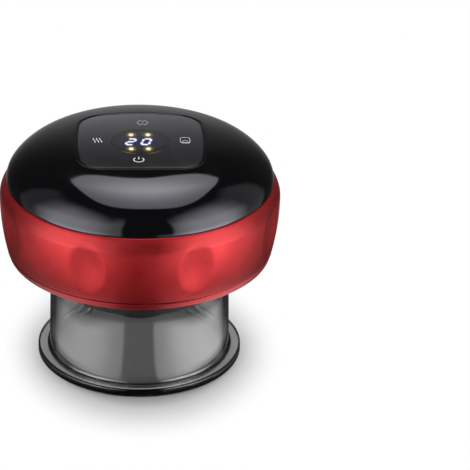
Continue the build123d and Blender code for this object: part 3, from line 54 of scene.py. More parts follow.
# The dome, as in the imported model
SEAM_RADIUS, SEAM_HEIGHT = 47.6, 69.1
ARC_SIZES = np.array([12.75, 1.404, 0.4234, 0.166])  # of the arcs to each other, from the crown
ARC_SLOPES = np.radians([0, 1.8, 16.0, 53.6, 90.0])  # of the skin at the arcs' ends
COVER_WALL = 2.4
COVER_RIM_INSET = 0.1
LIP_WALL, LIP_DEPTH, LIP_ROUND = 1.2, 3.5, 0.2
SKIN_ROWS, UNDERSIDE_ROWS = 58, 40
BOSS_RADIUS, BOSS_BORE, BOSS_ROUND, BOSS_SPOT = 2.4, 0.85, 0.3, 33.0
BOSS_FOOT = SEAM_HEIGHT + 6.2

# The panel and its seat
PANEL_X, PANEL_Y, PANEL_BOW, PANEL_CORNER = 22.3, 22.7, 1.7, 9.0
PANEL_THICKNESS, PANEL_ROUND, PANEL_ROWS = 1.5, 0.3, 30
LEDGE_WIDTH, SEAT_DEPTH = 2.5, 1.6
CHANNEL_EDGE = (  # outwards from the panel's outline, and down from the dome
    (0.05, 0.4), (0.12, 0.24), (0.3, 0.2), (0.5, 0.18),
    (0.68, 0.13), (0.8, 0.07), (1.0, 0.02), (1.5, 0.0),
)

# The side ring
BELLY_RADIUS, BELLY_HEIGHT = 50.0, 63.1
RING_TOP = SEAM_HEIGHT - 0.3
RING_FOOT_RADIUS, RING_FOOT = 47.8, 43.6
RING_WALL, RING_ROUND = 2.2, 0.3
RING_ROWS, RING_INNER_ROWS = 102, 24
SCOOP_COUNT, SCOOP_HEIGHT, SCOOP_WIDTH, SCOOP_LENGTH = 8, 56.0, 13.0, 19.5
SCOOP_DEPTH, SCOOP_SPREAD, SCOOP_SOFTNESS = 0.99, 0.54, 1.35
EAR_SPOT, EAR_HALF_WIDTH, EAR_REACH, EAR_HOLE = 41.8, 3.0, 5.4, 1.25
EAR_FOOT, EAR_TOP = 47.0, 49.0
SLOT_HEIGHT, SLOT_HALF_WIDTH, SLOT_ROUND = 60.0, 4.82, 1.98
SLOT_PATH = ((44.0, 0), (49.2, 0), (49.5, 0.25), (52.0, 2.6))  # along Y, and how much wider there

# The cup
CUP_RADIUS, CUP_HEIGHT, CUP_WALL, CUP_FLARE = 32.3, 40.4, 1.8, 0.5
CUP_NECK_FOOT, CUP_RIM_ROUND = 28.4, 0.6
FLANGE_RADIUS, FLANGE_THICKNESS, FLANGE_ROUND, FOOT_ROUND = 37.0, 3.0, 0.7, 1.2

# The release valve's spring, drawn at one length, though the real one shortens by the plunger's
# stroke as the valve opens
SPRING_LEFT, SPRING_RIGHT, VALVE_Y, VALVE_Z = -27.9, -22.52, -24.0, 53.0
COIL_RADIUS, COIL_WIRE_RADIUS, COIL_TURNS, COIL_STEPS = 1.575, 0.27, 6, 36

# The display and the marks, seen from above with the panel's middle at the origin
MARK_RISE = 0.04  # the printed marks and the lit digits stand this much above the panel
MARK_TIP = 0.003  # of the square of a mark's half width, left at its ends
DISPLAY_Y = -2.3
LAMP_X, LAMP_Y, LAMP_SHIFT = 3.0, 5.8, -0.35
LAMP_HALF_LENGTH, LAMP_WIDTH = 1.15, 1.75
DIGIT_PLACES = ((-3.45, "abged"), (2.0, "abcdef"))
DIGIT_LEAN = 0.24
DIGIT_HALF_WIDTH, DIGIT_HALF_HEIGHT, DIGIT_CORNER_GAP = 1.33, 2.35, 0.36
LYING_BAR_WIDTH, STANDING_BAR_WIDTH = 1.1, 0.86
WAVE_X, WAVE_PITCH, WAVE_HALF_HEIGHT = -15.2, 1.12, 1.9
POWER_X, POWER_Y, POWER_RADIUS, POWER_WIDTH = -0.85, -16.6, 1.75, 0.42
DIAL_X, SIDE_MARK_Y = 15.75, -0.7
LOBES_X, LOBES_Y = 0.9, 14.2
TRACES = ((10.2, 0.2), (9.2, 0.08), (8.3, 0.07))  # radius and width

# The room, in metres
OVERHEAD_SIZE, OVERHEAD_SPOT, OVERHEAD_AIM = (0.66, 0.86), (0.04, 0.22, 0.67), (0.04, 0.22, 0)
SIDE_SIZE, SIDE_X, SIDE_Y, SIDE_Z = (1.36, 1.32), 0.53, -0.2815, 0.46
SIDE_ALONG = (0.469, 0.883)  # a side lamp's width runs this way from front to back
FLOOR_RADIUS, FLOOR_DROP = 0.12, 0.0003

# The camera, fitted to the photo's ellipses. Its lens and its aim are in the frame's pixels
FRAME_PIXELS, LENS_PIXELS, AIM_PIXELS = 470, 2600, 95.0
CAMERA_SPOT = (0, -0.834, 0.472)
LOOK_DOWN, SWING, ROLL = math.radians(27.05), math.radians(-1.0), math.radians(0.33)
SENSOR = 36


# Meshes


def quads(rows, columns, loop):
    """Faces of a grid whose columns run round: corner (i, j) with its neighbours in the next row
    and column. The last row meets the first one where loop is set."""
    i, j = np.meshgrid(np.arange(rows - (not loop)), np.arange(columns), indexing="ij")
    after, beside = (i + 1) % rows, (j + 1) % columns
    corners = (i * columns + j, i * columns + beside, after * columns + beside, after * columns + j)
    return np.stack(corners, -1).reshape(-1, 4)


def shell(points, loop=False):
    """A closed shell from a grid of points (row, column, xyz) whose columns run round. Where the
    rows don't close on themselves, a fan round the middle of the first row and of the last closes
    each end. The faces are turned to point outwards by the sign of the volume."""
    rows, columns, _ = points.shape
    faces = quads(rows, columns, loop)
    spots = points.reshape(-1, 3)
    fans = np.empty((0, 3), int)
    if not loop:
        spots = np.concatenate([spots, points[:1].mean(1), points[-1:].mean(1)])
        here = np.arange(columns)
        beside = (here + 1) % columns
        last = (rows - 1) * columns
        first_pole = np.full(columns, rows * columns)
        fans = np.concatenate([
            np.stack([beside, here, first_pole], -1),
            np.stack([last + here, last + beside, first_pole + 1], -1),
        ])
    corners = spots[faces]
    triangles = np.concatenate([corners[:, [0, 1, 2]], corners[:, [0, 2, 3]], spots[fans]])
    volume = np.einsum("ij,ij->", triangles[:, 0], np.cross(triangles[:, 1], triangles[:, 2]))
    step = 1 if volume > 0 else -1
    return spots, (faces[:, ::step], fans[:, ::step])


def added(name, data):
    """An object at the origin, in the scene."""
    item = bpy.data.objects.new(name, data)
    bpy.context.scene.collection.objects.link(item)
    return item


def made(name, *shells):
    """One mesh in metres from closed shells, smooth but for its sharp edges."""
    starts = np.cumsum([0] + [len(spots) for spots, _ in shells])
    spots = np.concatenate([spots for spots, _ in shells]) * MM
    faces = []
    for start, (_, parts) in zip(starts, shells):
        for part in parts:
            faces += (part + start).tolist()
    mesh = bpy.data.meshes.new(name)
    mesh.from_pydata(spots.tolist(), [], faces)
    mesh.shade_smooth()
    mesh.set_sharp_from_angle(angle=CREASE)
    return added(name, mesh)


def piece(item, finish, slot, body, *nodes):
    """A finished piece: its material, the slot for it (not used), the body that it rides on and the
    nodes that it stands for."""
    item.data.materials.clear()
    item.data.materials.append(finish.material)
    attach(item, body)
    if nodes:
        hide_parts(*nodes)
    return item


def rounded(corners, steps=7):
    """A closed outline through corners of radius, height and rounding. Each corner becomes the arc
    of its rounding that touches both sides: it starts and ends rounding / tan(half the corner's
    angle) from the corner, and is the blend sin((1-s)a) : sin(sa) of its two end radii."""
    spots = np.array([corner[:2] for corner in corners], float)
    turn = np.array([corner[2] for corner in corners], float)
    back, ahead = np.roll(spots, 1, 0) - spots, np.roll(spots, -1, 0) - spots
    back /= np.linalg.norm(back, axis=1, keepdims=True)
    ahead /= np.linalg.norm(ahead, axis=1, keepdims=True)
    half = np.arccos(np.clip((back * ahead).sum(1), -1, 1)) / 2
    reach = turn / np.tan(half)
    middle = back + ahead
    middle *= (turn / np.sin(half) / np.maximum(np.linalg.norm(middle, axis=1), 1e-9))[:, None]
    start, end = back * reach[:, None] - middle, ahead * reach[:, None] - middle
    sweep = (math.pi - 2 * half)[:, None]
    share = np.linspace(0, 1, steps)[None]
    from_start = (np.sin((1 - share) * sweep) / np.sin(sweep))[..., None] * start[:, None]
    from_end = (np.sin(share * sweep) / np.sin(sweep))[..., None] * end[:, None]
    line = ((spots + middle)[:, None] + from_start + from_end).reshape(-1, 2)
    keep = np.linalg.norm(line - np.roll(line, 1, 0), axis=1) > 1e-4
    return line[keep]


def turned(outline, columns=256, x=0.0, y=0.0):
    """A closed outline of radius and height turned round an upright axis:
    x + r cos a, y + r sin a, z."""
    angle = np.arange(columns) * TURN / columns
    radius, height = outline[:, :1], outline[:, 1:]
    height = np.broadcast_to(height, (len(outline), columns))
    grid = np.stack([x + radius * np.cos(angle), y + radius * np.sin(angle), height], -1)
    return shell(grid, loop=True)


# The dome and the panel's outline

RUNS = ARC_SIZES * (np.sin(ARC_SLOPES[1:]) - np.sin(ARC_SLOPES[:-1]))
ARC_RADII = ARC_SIZES * SEAM_RADIUS / RUNS.sum()
CROWN = SEAM_HEIGHT + (ARC_RADII * (np.cos(ARC_SLOPES[:-1]) - np.cos(ARC_SLOPES[1:]))).sum()
STEPS, MEETS = -np.diff(ARC_RADII), ARC_SLOPES[1:-1]
ARC_X = np.concatenate([[0], np.cumsum(STEPS * np.sin(MEETS))])
ARC_Z = CROWN - ARC_RADII[0] + np.concatenate([[0], np.cumsum(STEPS * np.cos(MEETS))])


def dome(radius, drop=0.0):
    """Height of the dome at a radius: on the circle of the arc that the radius falls in, whose own
    radius is less by the drop."""
    reach = ARC_RADII - drop
    arc = np.searchsorted((ARC_X + reach * np.sin(ARC_SLOPES[1:]))[:-1], radius)
    return ARC_Z[arc] + np.sqrt(np.maximum(reach[arc] ** 2 - (radius - ARC_X[arc]) ** 2, 0))


def panel_edge(angle, grow=0.0):
    """Distance from the middle to the panel's outline, grown by a length, at an angle. The ray
    meets the side's bowed arc, or between the two places where the corner's circle touches the
    sides, that circle. All four quarters are alike."""
    x, y = PANEL_X - PANEL_BOW + grow, PANEL_Y - PANEL_BOW + grow
    side = (y**2 + PANEL_BOW**2) / (2 * PANEL_BOW)
    end = (x**2 + PANEL_BOW**2) / (2 * PANEL_BOW)
    side_x, end_y = x + PANEL_BOW - side, y + PANEL_BOW - end
    corner = PANEL_CORNER + grow
    gap = math.hypot(side_x, end_y)
    along = ((end - corner) ** 2 - (side - corner) ** 2 + gap**2) / (2 * gap)
    off = math.sqrt((end - corner) ** 2 - along**2)
    unit_x, unit_y = side_x / gap, -end_y / gap
    corner_x, corner_y = along * unit_x - off * unit_y, end_y + along * unit_y + off * unit_x
    if corner_x < 0 or corner_y < 0:
        corner_x, corner_y = along * unit_x + off * unit_y, end_y + along * unit_y - off * unit_x
    lean_side = np.array([corner_x - side_x, corner_y]) / (side - corner)
    lean_end = np.array([corner_x, corner_y - end_y]) / (end - corner)
    low = math.atan2(corner_y + corner * lean_side[1], corner_x + corner * lean_side[0])
    high = math.atan2(corner_y + corner * lean_end[1], corner_x + corner * lean_end[0])
    c, s = np.abs(np.cos(angle)), np.abs(np.sin(angle))
    folded = np.arctan2(s, c)
    on_side = side_x * c + np.sqrt(np.maximum(side**2 - side_x**2 * s**2, 0))
    on_end = end_y * s + np.sqrt(np.maximum(end**2 - end_y**2 * c**2, 0))
    toward = corner_x * c + corner_y * s
    on_corner = toward + np.sqrt(np.maximum(corner**2 - corner_x**2 - corner_y**2 + toward**2, 0))
    return np.where(folded < low, on_side, np.where(folded > high, on_end, on_corner))


def laid(angle, radius, height):
    """Grid points r cos a, r sin a and z from polar rows."""
    return np.stack([radius * np.cos(angle), radius * np.sin(angle), height], -1)


def top_cover_shell(columns=480):
    """The dome with its recess for the panel. Every row is a distance from the middle at each
    angle, and its height is the dome's at that distance less a drop: up from the ledge, over the
    recess and the channel's rolled edge, then out with s = sin(t pi/2) from the panel's outline to
    the seam's circle, round the lip, and back in under the skin."""
    angle = np.arange(columns) * TURN / columns
    seat, start = CHANNEL_EDGE[0][0], CHANNEL_EDGE[-1][0]
    ledge = ((-LEDGE_WIDTH, COVER_WALL), (-LEDGE_WIDTH, SEAT_DEPTH), (seat, SEAT_DEPTH))
    rows = []
    for grow, drop in ledge + CHANNEL_EDGE:
        edge = panel_edge(angle, grow)
        rows.append(laid(angle, edge, dome(edge, drop)))
    inner = panel_edge(angle, start)
    for share in np.sin(np.linspace(0, 1, SKIN_ROWS)[1:] * math.pi / 2):
        radius = inner + (SEAM_RADIUS - inner) * share
        rows.append(laid(angle, radius, dome(radius)))
    lip, foot = SEAM_RADIUS - COVER_WALL, SEAM_HEIGHT - LIP_DEPTH
    bore = lip - LIP_WALL
    even = np.ones(columns)
    for radius, height in (
        (SEAM_RADIUS - COVER_RIM_INSET, SEAM_HEIGHT), (lip, SEAM_HEIGHT), (lip, foot + LIP_ROUND),
        (lip - LIP_ROUND, foot), (bore, foot), (bore, SEAM_HEIGHT),
    ):
        rows.append(laid(angle, radius * even, height * even))
    inner = panel_edge(angle, -LEDGE_WIDTH)
    for share in np.sin(np.linspace(1, 0, UNDERSIDE_ROWS)[:-1] * math.pi / 2):
        radius = inner + (bore - inner) * share
        rows.append(laid(angle, radius, dome(radius, COVER_WALL)))
    return shell(np.array(rows), loop=True)


def boss_shell(angle, columns=48):
    """A boss inside the dome: a tube's section with a softened lower edge, turned round an upright
    axis at an angle round the dome, from the board up into the dome's wall."""
    top = dome(BOSS_SPOT, COVER_WALL / 2)
    section = rounded([
        (BOSS_BORE, BOSS_FOOT, 0), (BOSS_RADIUS, BOSS_FOOT, BOSS_ROUND),
        (BOSS_RADIUS, top, 0), (BOSS_BORE, top, 0),
    ], 4)
    return turned(section, columns, BOSS_SPOT * math.cos(angle), BOSS_SPOT * math.sin(angle))


def panel_shell(columns=480):
    """The panel: rows at shares of its outline's distance, the top on the dome less the rise that
    the marks need, a rolled edge, and the underside lower by the panel's thickness."""
    angle = np.arange(columns) * TURN / columns
    rows = []
    flat = panel_edge(angle, -PANEL_ROUND)
    for share in np.linspace(0, 1, PANEL_ROWS)[1:]:
        rows.append(laid(angle, flat * share, dome(flat * share, MARK_RISE)))
    for bend in np.linspace(0, math.pi / 2, 6)[1:]:
        edge = panel_edge(angle, -PANEL_ROUND + PANEL_ROUND * math.sin(bend))
        rows.append(laid(angle, edge, dome(edge, MARK_RISE + PANEL_ROUND * (1 - math.cos(bend)))))
    edge = panel_edge(angle)
    for share in (1, 0.6, 0.2):
        rows.append(laid(angle, edge * share, dome(edge * share, PANEL_THICKNESS)))
    return shell(np.array(rows))


# Marks on the panel


def laid_mark(x, y, drop):
    """A line of points x, y on the dome less a drop."""
    return np.stack([x, y, dome(np.hypot(x, y), drop)], -1)


def mark(path, width, taper=0.5):
    """A flat ribbon on the dome along a path of x and y: at each point the path's own normal times
    half the width, which falls to nearly nothing at both ends like a half circle, on the dome less
    the marks' rise below and on the dome above. The taper is the end's length over the width."""
    path = np.asarray(path, float)
    ahead = np.gradient(path, axis=0)
    ahead /= np.linalg.norm(ahead, axis=1, keepdims=True)
    across = np.stack([-ahead[:, 1], ahead[:, 0]], -1)
    walked = np.concatenate([[0], np.cumsum(np.linalg.norm(np.diff(path, axis=0), axis=1))])
    nearest = np.minimum(walked, walked[-1] - walked) / (width * taper)
    half = width / 2 * np.sqrt(np.maximum(1 - np.maximum(1 - nearest, 0) ** 2, MARK_TIP))
    left, right = path + across * half[:, None], path - across * half[:, None]
    edges = ((left, MARK_RISE), (left, 0.0), (right, 0.0), (right, MARK_RISE))
    lines = [laid_mark(line[:, 0], line[:, 1], drop) for line, drop in edges]
    return shell(np.stack(lines, 1))


def ring_mark(radius, width, y, columns=200):
    """A closed flat ring on the dome: r cos a, y + r sin a at its inner and its outer edge, below
    and above."""
    angle = TURN * np.linspace(0, 1, columns, endpoint=False)
    inner, outer = radius - width / 2, radius + width / 2
    edges = ((inner, MARK_RISE), (inner, 0.0), (outer, 0.0), (outer, MARK_RISE))
    c, s = np.cos(angle), np.sin(angle)
    rows = [laid_mark(reach * c, y + reach * s, drop) for reach, drop in edges]
    return shell(np.array(rows), loop=True)


def leant(x, y):
    """A digit's point, slanted to the right by a quarter of its height, in the display."""
    return [x + DIGIT_LEAN * y, y + DISPLAY_Y]


def digit(x, bars):
    """One seven-bar digit centred at x, 2.7 wide and 4.7 high between its bars' middles. Each bar
    is a mark along the line between two corners that stops short of them."""
    w, h, gap = DIGIT_HALF_WIDTH, DIGIT_HALF_HEIGHT, DIGIT_CORNER_GAP
    ends = {
        "a": ((gap - w, h), (w - gap, h)),
        "b": ((w, h - gap), (w, gap)),
        "c": ((w, -gap), (w, gap - h)),
        "d": ((gap - w, -h), (w - gap, -h)),
        "e": ((-w, -gap), (-w, gap - h)),
        "f": ((-w, h - gap), (-w, gap)),
        "g": ((gap - w, 0), (w - gap, 0)),
    }
    share = np.linspace(-0.1, 1.1, 16)
    lines = []
    for bar in bars:
        (x0, y0), (x1, y1) = ends[bar]
        path = np.stack(leant(x + x0 + (x1 - x0) * share, y0 + (y1 - y0) * share), -1)
        lines.append(mark(path, LYING_BAR_WIDTH if y0 == y1 else STANDING_BAR_WIDTH, taper=0.4))
    return lines


def lamp_mark(x, y):
    """One of the four small lamps: a short straight mark along Y."""
    along = y + DISPLAY_Y + np.linspace(-LAMP_HALF_LENGTH, LAMP_HALF_LENGTH, 24)
    return mark(np.stack([np.full(24, x + LAMP_SHIFT), along], -1), LAMP_WIDTH, taper=0.7)


def wave_marks():
    """Three waves side by side: x leans back by 0.28 t and swings by 0.22 sin(t pi) as t runs from
    -1 to 1 over the height."""
    t = np.linspace(-1, 1, 40)
    lean = -0.28 * t - 0.22 * np.sin(t * math.pi)
    wave = np.stack([WAVE_X + lean, SIDE_MARK_Y + WAVE_HALF_HEIGHT * t], -1)
    return [mark(wave + (off, 0), 0.3) for off in (-WAVE_PITCH, 0, WAVE_PITCH)]


def power_marks():
    """The power sign: an arc of 280 degrees, open at the top, and a bar in its opening."""
    angle = math.radians(130) + math.radians(280) * np.linspace(0, 1, 96)
    arc = POWER_RADIUS * np.stack([np.cos(angle), np.sin(angle)], -1)
    bar = np.stack([np.zeros(16), np.linspace(0.2, 2.1, 16)], -1)
    return [mark(line + (POWER_X, POWER_Y), POWER_WIDTH) for line in (arc, bar)]


def dial_marks():
    """A dial in a frame: the frame is the curve |x/1.7|^4 + |y/2.4|^4 = 1, the dial's hood the
    parabola 0.8 (1 - t^2) as t runs from -1 to 1, and a straight plinth lies below it."""
    angle = np.linspace(0, TURN, 121)
    c, s = np.cos(angle), np.sin(angle)
    reach = (np.abs(c / 1.7) ** 4 + np.abs(s / 2.4) ** 4) ** (-1 / 4)
    t = np.linspace(-1, 1, 40)
    return [
        mark(np.stack([DIAL_X + reach * c, SIDE_MARK_Y + reach * s], -1), 0.2),
        mark(np.stack([DIAL_X + t, SIDE_MARK_Y - 1.0 + 0.8 * (1 - t**2)], -1), 0.2),
        mark(np.stack([DIAL_X + 1.5 * t, np.full(40, SIDE_MARK_Y - 1.8)], -1), 0.24),
    ]


def lobes_mark():
    """Two lobes side by side: with c the cosine that runs once round, x = 1.9 c and
    y = 1.95 sqrt(1 - c^4) (0.5 + 0.5 sin^2(pi c)), above and below."""
    angle = np.linspace(0, TURN, 161)
    c = np.cos(angle)
    rise = 1.95 * np.sqrt(np.maximum(1 - c**4, 0)) * (0.5 + 0.5 * np.sin(math.pi * c) ** 2)
    return mark(np.stack([LOBES_X + 1.9 * c, LOBES_Y + rise * np.sign(np.sin(angle))], -1), 0.3)


# The side ring and the valve's spring


def ring_reach(height):
    """Outer radius of the side ring: one arc above its belly and a larger one below, both upright
    at the belly. Each arc's radius is (inset^2 + rise^2) / (2 inset) of its far end."""
    top_inset, foot_inset = BELLY_RADIUS - SEAM_RADIUS, BELLY_RADIUS - RING_FOOT_RADIUS
    top_round = (top_inset**2 + (RING_TOP - BELLY_HEIGHT) ** 2) / (2 * top_inset)
    foot_round = (foot_inset**2 + (BELLY_HEIGHT - RING_FOOT) ** 2) / (2 * foot_inset)
    bend = np.where(height > BELLY_HEIGHT, top_round, foot_round)
    return BELLY_RADIUS - bend + np.sqrt(bend**2 - (height - BELLY_HEIGHT) ** 2)


def side_ring_shell(columns=512):
    """The ring's wall as a closed section turned once: the outer skin, a rolled edge at each end,
    and the inner skin inside. From the outer skin each of eight scoops takes its depth times
    (1 - u^2 - v^2)^1.35, with u and v the shares of the oval's half sizes."""
    angle = np.arange(columns) * TURN / columns
    bend = np.linspace(0, math.pi / 2, 5)
    height = np.concatenate([
        RING_FOOT + RING_ROUND * (1 - np.sin(bend[::-1])),
        np.linspace(RING_FOOT + RING_ROUND, RING_TOP - RING_ROUND, RING_ROWS + 2)[1:-1],
        RING_TOP - RING_ROUND * (1 - np.sin(bend)),
    ])
    roll = RING_ROUND * (1 - np.cos(bend))
    reach = ring_reach(height) - np.concatenate([roll[::-1], np.zeros(RING_ROWS), roll])
    step = TURN / SCOOP_COUNT
    off = (angle % step) - step / 2
    u = off[None] * reach[:, None] / (SCOOP_WIDTH * SCOOP_SPREAD)
    v = (height[:, None] - SCOOP_HEIGHT) / (SCOOP_LENGTH * SCOOP_SPREAD)
    dent = SCOOP_DEPTH * np.maximum(1 - u**2 - v**2, 0) ** SCOOP_SOFTNESS
    outer = laid(angle[None], reach[:, None] - dent, np.broadcast_to(height[:, None], dent.shape))
    low = np.linspace(RING_TOP, RING_FOOT, RING_INNER_ROWS)[:, None]
    low = np.broadcast_to(low, (RING_INNER_ROWS, columns))
    inner = laid(angle[None], ring_reach(low) - RING_WALL, low)
    return shell(np.concatenate([outer, inner]), loop=True)


def ear_shell(angle, columns=64):
    """One inner ear of the ring with its screw hole: a square seen from the hole's middle,
    min(half width / |sin|, reach / |cos|), and the hole."""
    a = np.arange(columns) * TURN / columns
    c, s = np.cos(a), np.sin(a)
    reach = np.where(c > 0, EAR_REACH, EAR_HALF_WIDTH)
    flat_c, flat_s = np.maximum(np.abs(c), 1e-6), np.maximum(np.abs(s), 1e-6)
    square = np.minimum(EAR_HALF_WIDTH / flat_s, reach / flat_c)
    rows = ((EAR_HOLE, EAR_TOP), (EAR_HOLE, EAR_FOOT), (square, EAR_FOOT), (square, EAR_TOP))
    grid = np.array([np.stack([EAR_SPOT + r * c, r * s, np.full(columns, z)], -1) for r, z in rows])
    cos, sin = math.cos(angle), math.sin(angle)
    return shell(grid @ np.array([[cos, sin, 0], [-sin, cos, 0], [0, 0, 1]]), loop=True)


def slot_cutter():
    """The charging slot's cutter: a rounded slot carried along Y, wider where it breaks the skin.
    Its outline is a circle whose halves are moved apart by the sign of the cosine."""
    angle = np.arange(64) * TURN / 64
    c, s = np.cos(angle), np.sin(angle)
    half_straight = SLOT_HALF_WIDTH - SLOT_ROUND
    rows = []
    for y, grow in SLOT_PATH:
        radius = SLOT_ROUND + grow
        rows.append(np.stack([
            np.sign(c) * half_straight + radius * c, np.full(64, y), SLOT_HEIGHT + radius * s,
        ], -1))
    return made("slot_cutter", shell(np.array(rows)))


def cut(item, tool):
    """The item less the tool, as a mesh of its own."""
    taken = item.modifiers.new("taken", "BOOLEAN")
    taken.operation, taken.solver, taken.object = "DIFFERENCE", "EXACT", tool
    bpy.context.view_layer.update()
    graph = bpy.context.evaluated_depsgraph_get()
    result = bpy.data.meshes.new_from_object(item.evaluated_get(graph))
    item.modifiers.clear()
    item.data = result
    bpy.data.objects.remove(tool)
    return item


def coil_shell(columns=14):
    """A round wire wound along X: its middle goes once round a circle per turn while x runs evenly
    from left to right, and the wire's own circle lies in the plane of X and the radius."""
    share = np.linspace(0, 1, COIL_TURNS * COIL_STEPS + 1)[:, None]
    angle, bend = share * COIL_TURNS * TURN, np.arange(columns)[None] * TURN / columns
    reach = COIL_RADIUS + COIL_WIRE_RADIUS * np.cos(bend)
    run = SPRING_RIGHT - SPRING_LEFT - 2 * COIL_WIRE_RADIUS
    return shell(np.stack([
        SPRING_LEFT + COIL_WIRE_RADIUS + run * share + COIL_WIRE_RADIUS * np.sin(bend),
        VALVE_Y + reach * np.cos(angle),
        VALVE_Z + reach * np.sin(angle),
    ], -1))


# Finishes


class Link:
    """An output of a node. + - * / and ** with links or numbers each add a Math node."""

    def __init__(self, tree, socket):
        self.tree, self.socket = tree, socket

    def math(self, operation, *values):
        return self.tree.add("ShaderNodeMath", {"operation": operation}, dict(enumerate(values)))

    def __add__(self, other):
        return self.math("ADD", self, other)

    def __sub__(self, other):
        return self.math("SUBTRACT", self, other)

    def __rsub__(self, other):
        return self.math("SUBTRACT", other, self)

    def __mul__(self, other):
        return self.math("MULTIPLY", self, other)

    def __truediv__(self, other):
        return self.math("DIVIDE", self, other)

    def __pow__(self, other):
        return self.math("POWER", self, other)

    __radd__, __rmul__ = __add__, __mul__

    def away(self):
        """Its distance from nought."""
        return self.math("ABSOLUTE", self)

    def at_most(self, limit):
        return self.math("MINIMUM", self, limit)

    def at_least(self, limit):
        return self.math("MAXIMUM", self, limit)

    def fade(self):
        """exp(-value squared)."""
        return self.math("EXPONENT", 0 - self * self)


class Tree:
    """A node tree that grows one node at a time."""

    def __init__(self, tree):
        self.tree = tree
        self.tree.nodes.clear()

    def add(self, kind, settings=None, inputs=None, output=0):
        """Adds a node: its settings first, then its sockets' values or links. Gives one of its
        outputs, or the node where it has none."""
        node = self.tree.nodes.new(kind)
        for name, value in (settings or {}).items():
            setattr(node, name, value)
        for name, value in (inputs or {}).items():
            self.feed(node.inputs[name], value)
        return Link(self, node.outputs[output]) if node.outputs else node

    def feed(self, socket, value):
        """Links a socket, or sets its value; a colour of three numbers gets its fourth."""
        if isinstance(value, Link):
            self.tree.links.new(value.socket, socket)
        elif socket.type == "RGBA" and len(value) == 3:
            socket.default_value = (*value, 1)
        else:
            socket.default_value = value

    def parts(self, vector):
        """x, y and z of a vector."""
        split = self.add("ShaderNodeSeparateXYZ", inputs={0: vector})
        return [Link(self, socket) for socket in split.socket.node.outputs]

    def place(self):
        """The point on the piece, in metres."""
        return self.add("ShaderNodeTexCoord", output="Object")

    def axes(self):
        """x, y and z of the point in millimetres."""
        return [part * (1 / MM) for part in self.parts(self.place())]

    def noise(self, size, detail=3.0, stretch=EVEN):
        """Noise with features of about this size in millimetres, stretched along the axes whose
        share is below one."""
        mapped = self.add("ShaderNodeMapping", inputs={"Vector": self.place(), "Scale": stretch})
        values = {"Vector": mapped, "Scale": 1 / (size * MM), "Detail": detail, "Roughness": 0.55}
        return self.add("ShaderNodeTexNoise", inputs=values)

    def between(self, value, low, high, new_low=0.0, new_high=1.0):
        """The value carried from one range to another, softly at both ends, and held there."""
        values = {
            "Value": value,
            "From Min": low, "From Max": high,
            "To Min": new_low, "To Max": new_high,
        }
        return self.add("ShaderNodeMapRange", {"interpolation_type": "SMOOTHSTEP"}, values)

    def mix(self, share, first, second, blend="MIX"):
        """One colour to another by a share."""
        settings = {"data_type": "RGBA", "blend_type": blend}
        return self.add("ShaderNodeMix", settings, {0: share, 6: first, 7: second}, output=2)

    def dent(self, height, depth, strength=1.0):
        """The surface's direction where a height from 0 to 1 stands for a depth in millimetres."""
        values = {"Height": height, "Distance": depth * MM, "Strength": strength}
        return self.add("ShaderNodeBump", inputs=values)


class Finish(Tree):
    """A material of one Principled shader."""

    def __init__(self, name, **values):
        self.material = bpy.data.materials.new(name)
        self.material.use_nodes = True
        super().__init__(self.material.node_tree)
        self.shader = self.add("ShaderNodeBsdfPrincipled")
        self.add("ShaderNodeOutputMaterial", inputs={"Surface": self.shader})
        self.set(**values)

    def set(self, **values):
        """Socket values by name, with _ for a space."""
        for name, value in values.items():
            self.feed(self.shader.socket.node.inputs[name.replace("_", " ")], value)
        return self


def plain(name, dark, light, roughness, size=3.0, grain=0.25, depth=0.01, stretch=EVEN, **values):
    """A finish that varies softly: two colours and two roughnesses by one noise, and a fine grain
    in the surface by another."""
    smooth, rough = roughness
    finish = Finish(name, **values)
    cloud = finish.between(finish.noise(size, 3, stretch), 0.3, 0.7)
    fine = finish.noise(grain, 2, stretch)
    return finish.set(
        Base_Color=finish.mix(cloud, dark, light),
        Roughness=cloud * (rough - smooth) + smooth,
        Normal=finish.dent(fine, depth),
    )


def gloss_black():
    """Piano-black lacquer: deep and nearly clean, with a very slight orange peel and a breath of
    haze."""
    finish = Finish("gloss_black", IOR=1.58, Specular_Tint=(0.89, 0.89, 1.0))
    haze = finish.between(finish.noise(14, 3), 0.35, 0.75)
    peel = finish.noise(1.6, 2)
    return finish.set(
        Base_Color=finish.mix(haze, (0.0014, 0.0014, 0.0017), (0.0024, 0.0024, 0.0028)),
        Roughness=haze * 0.025 + 0.045,
        Normal=finish.dent(peel, 0.004, 0.6),
    )


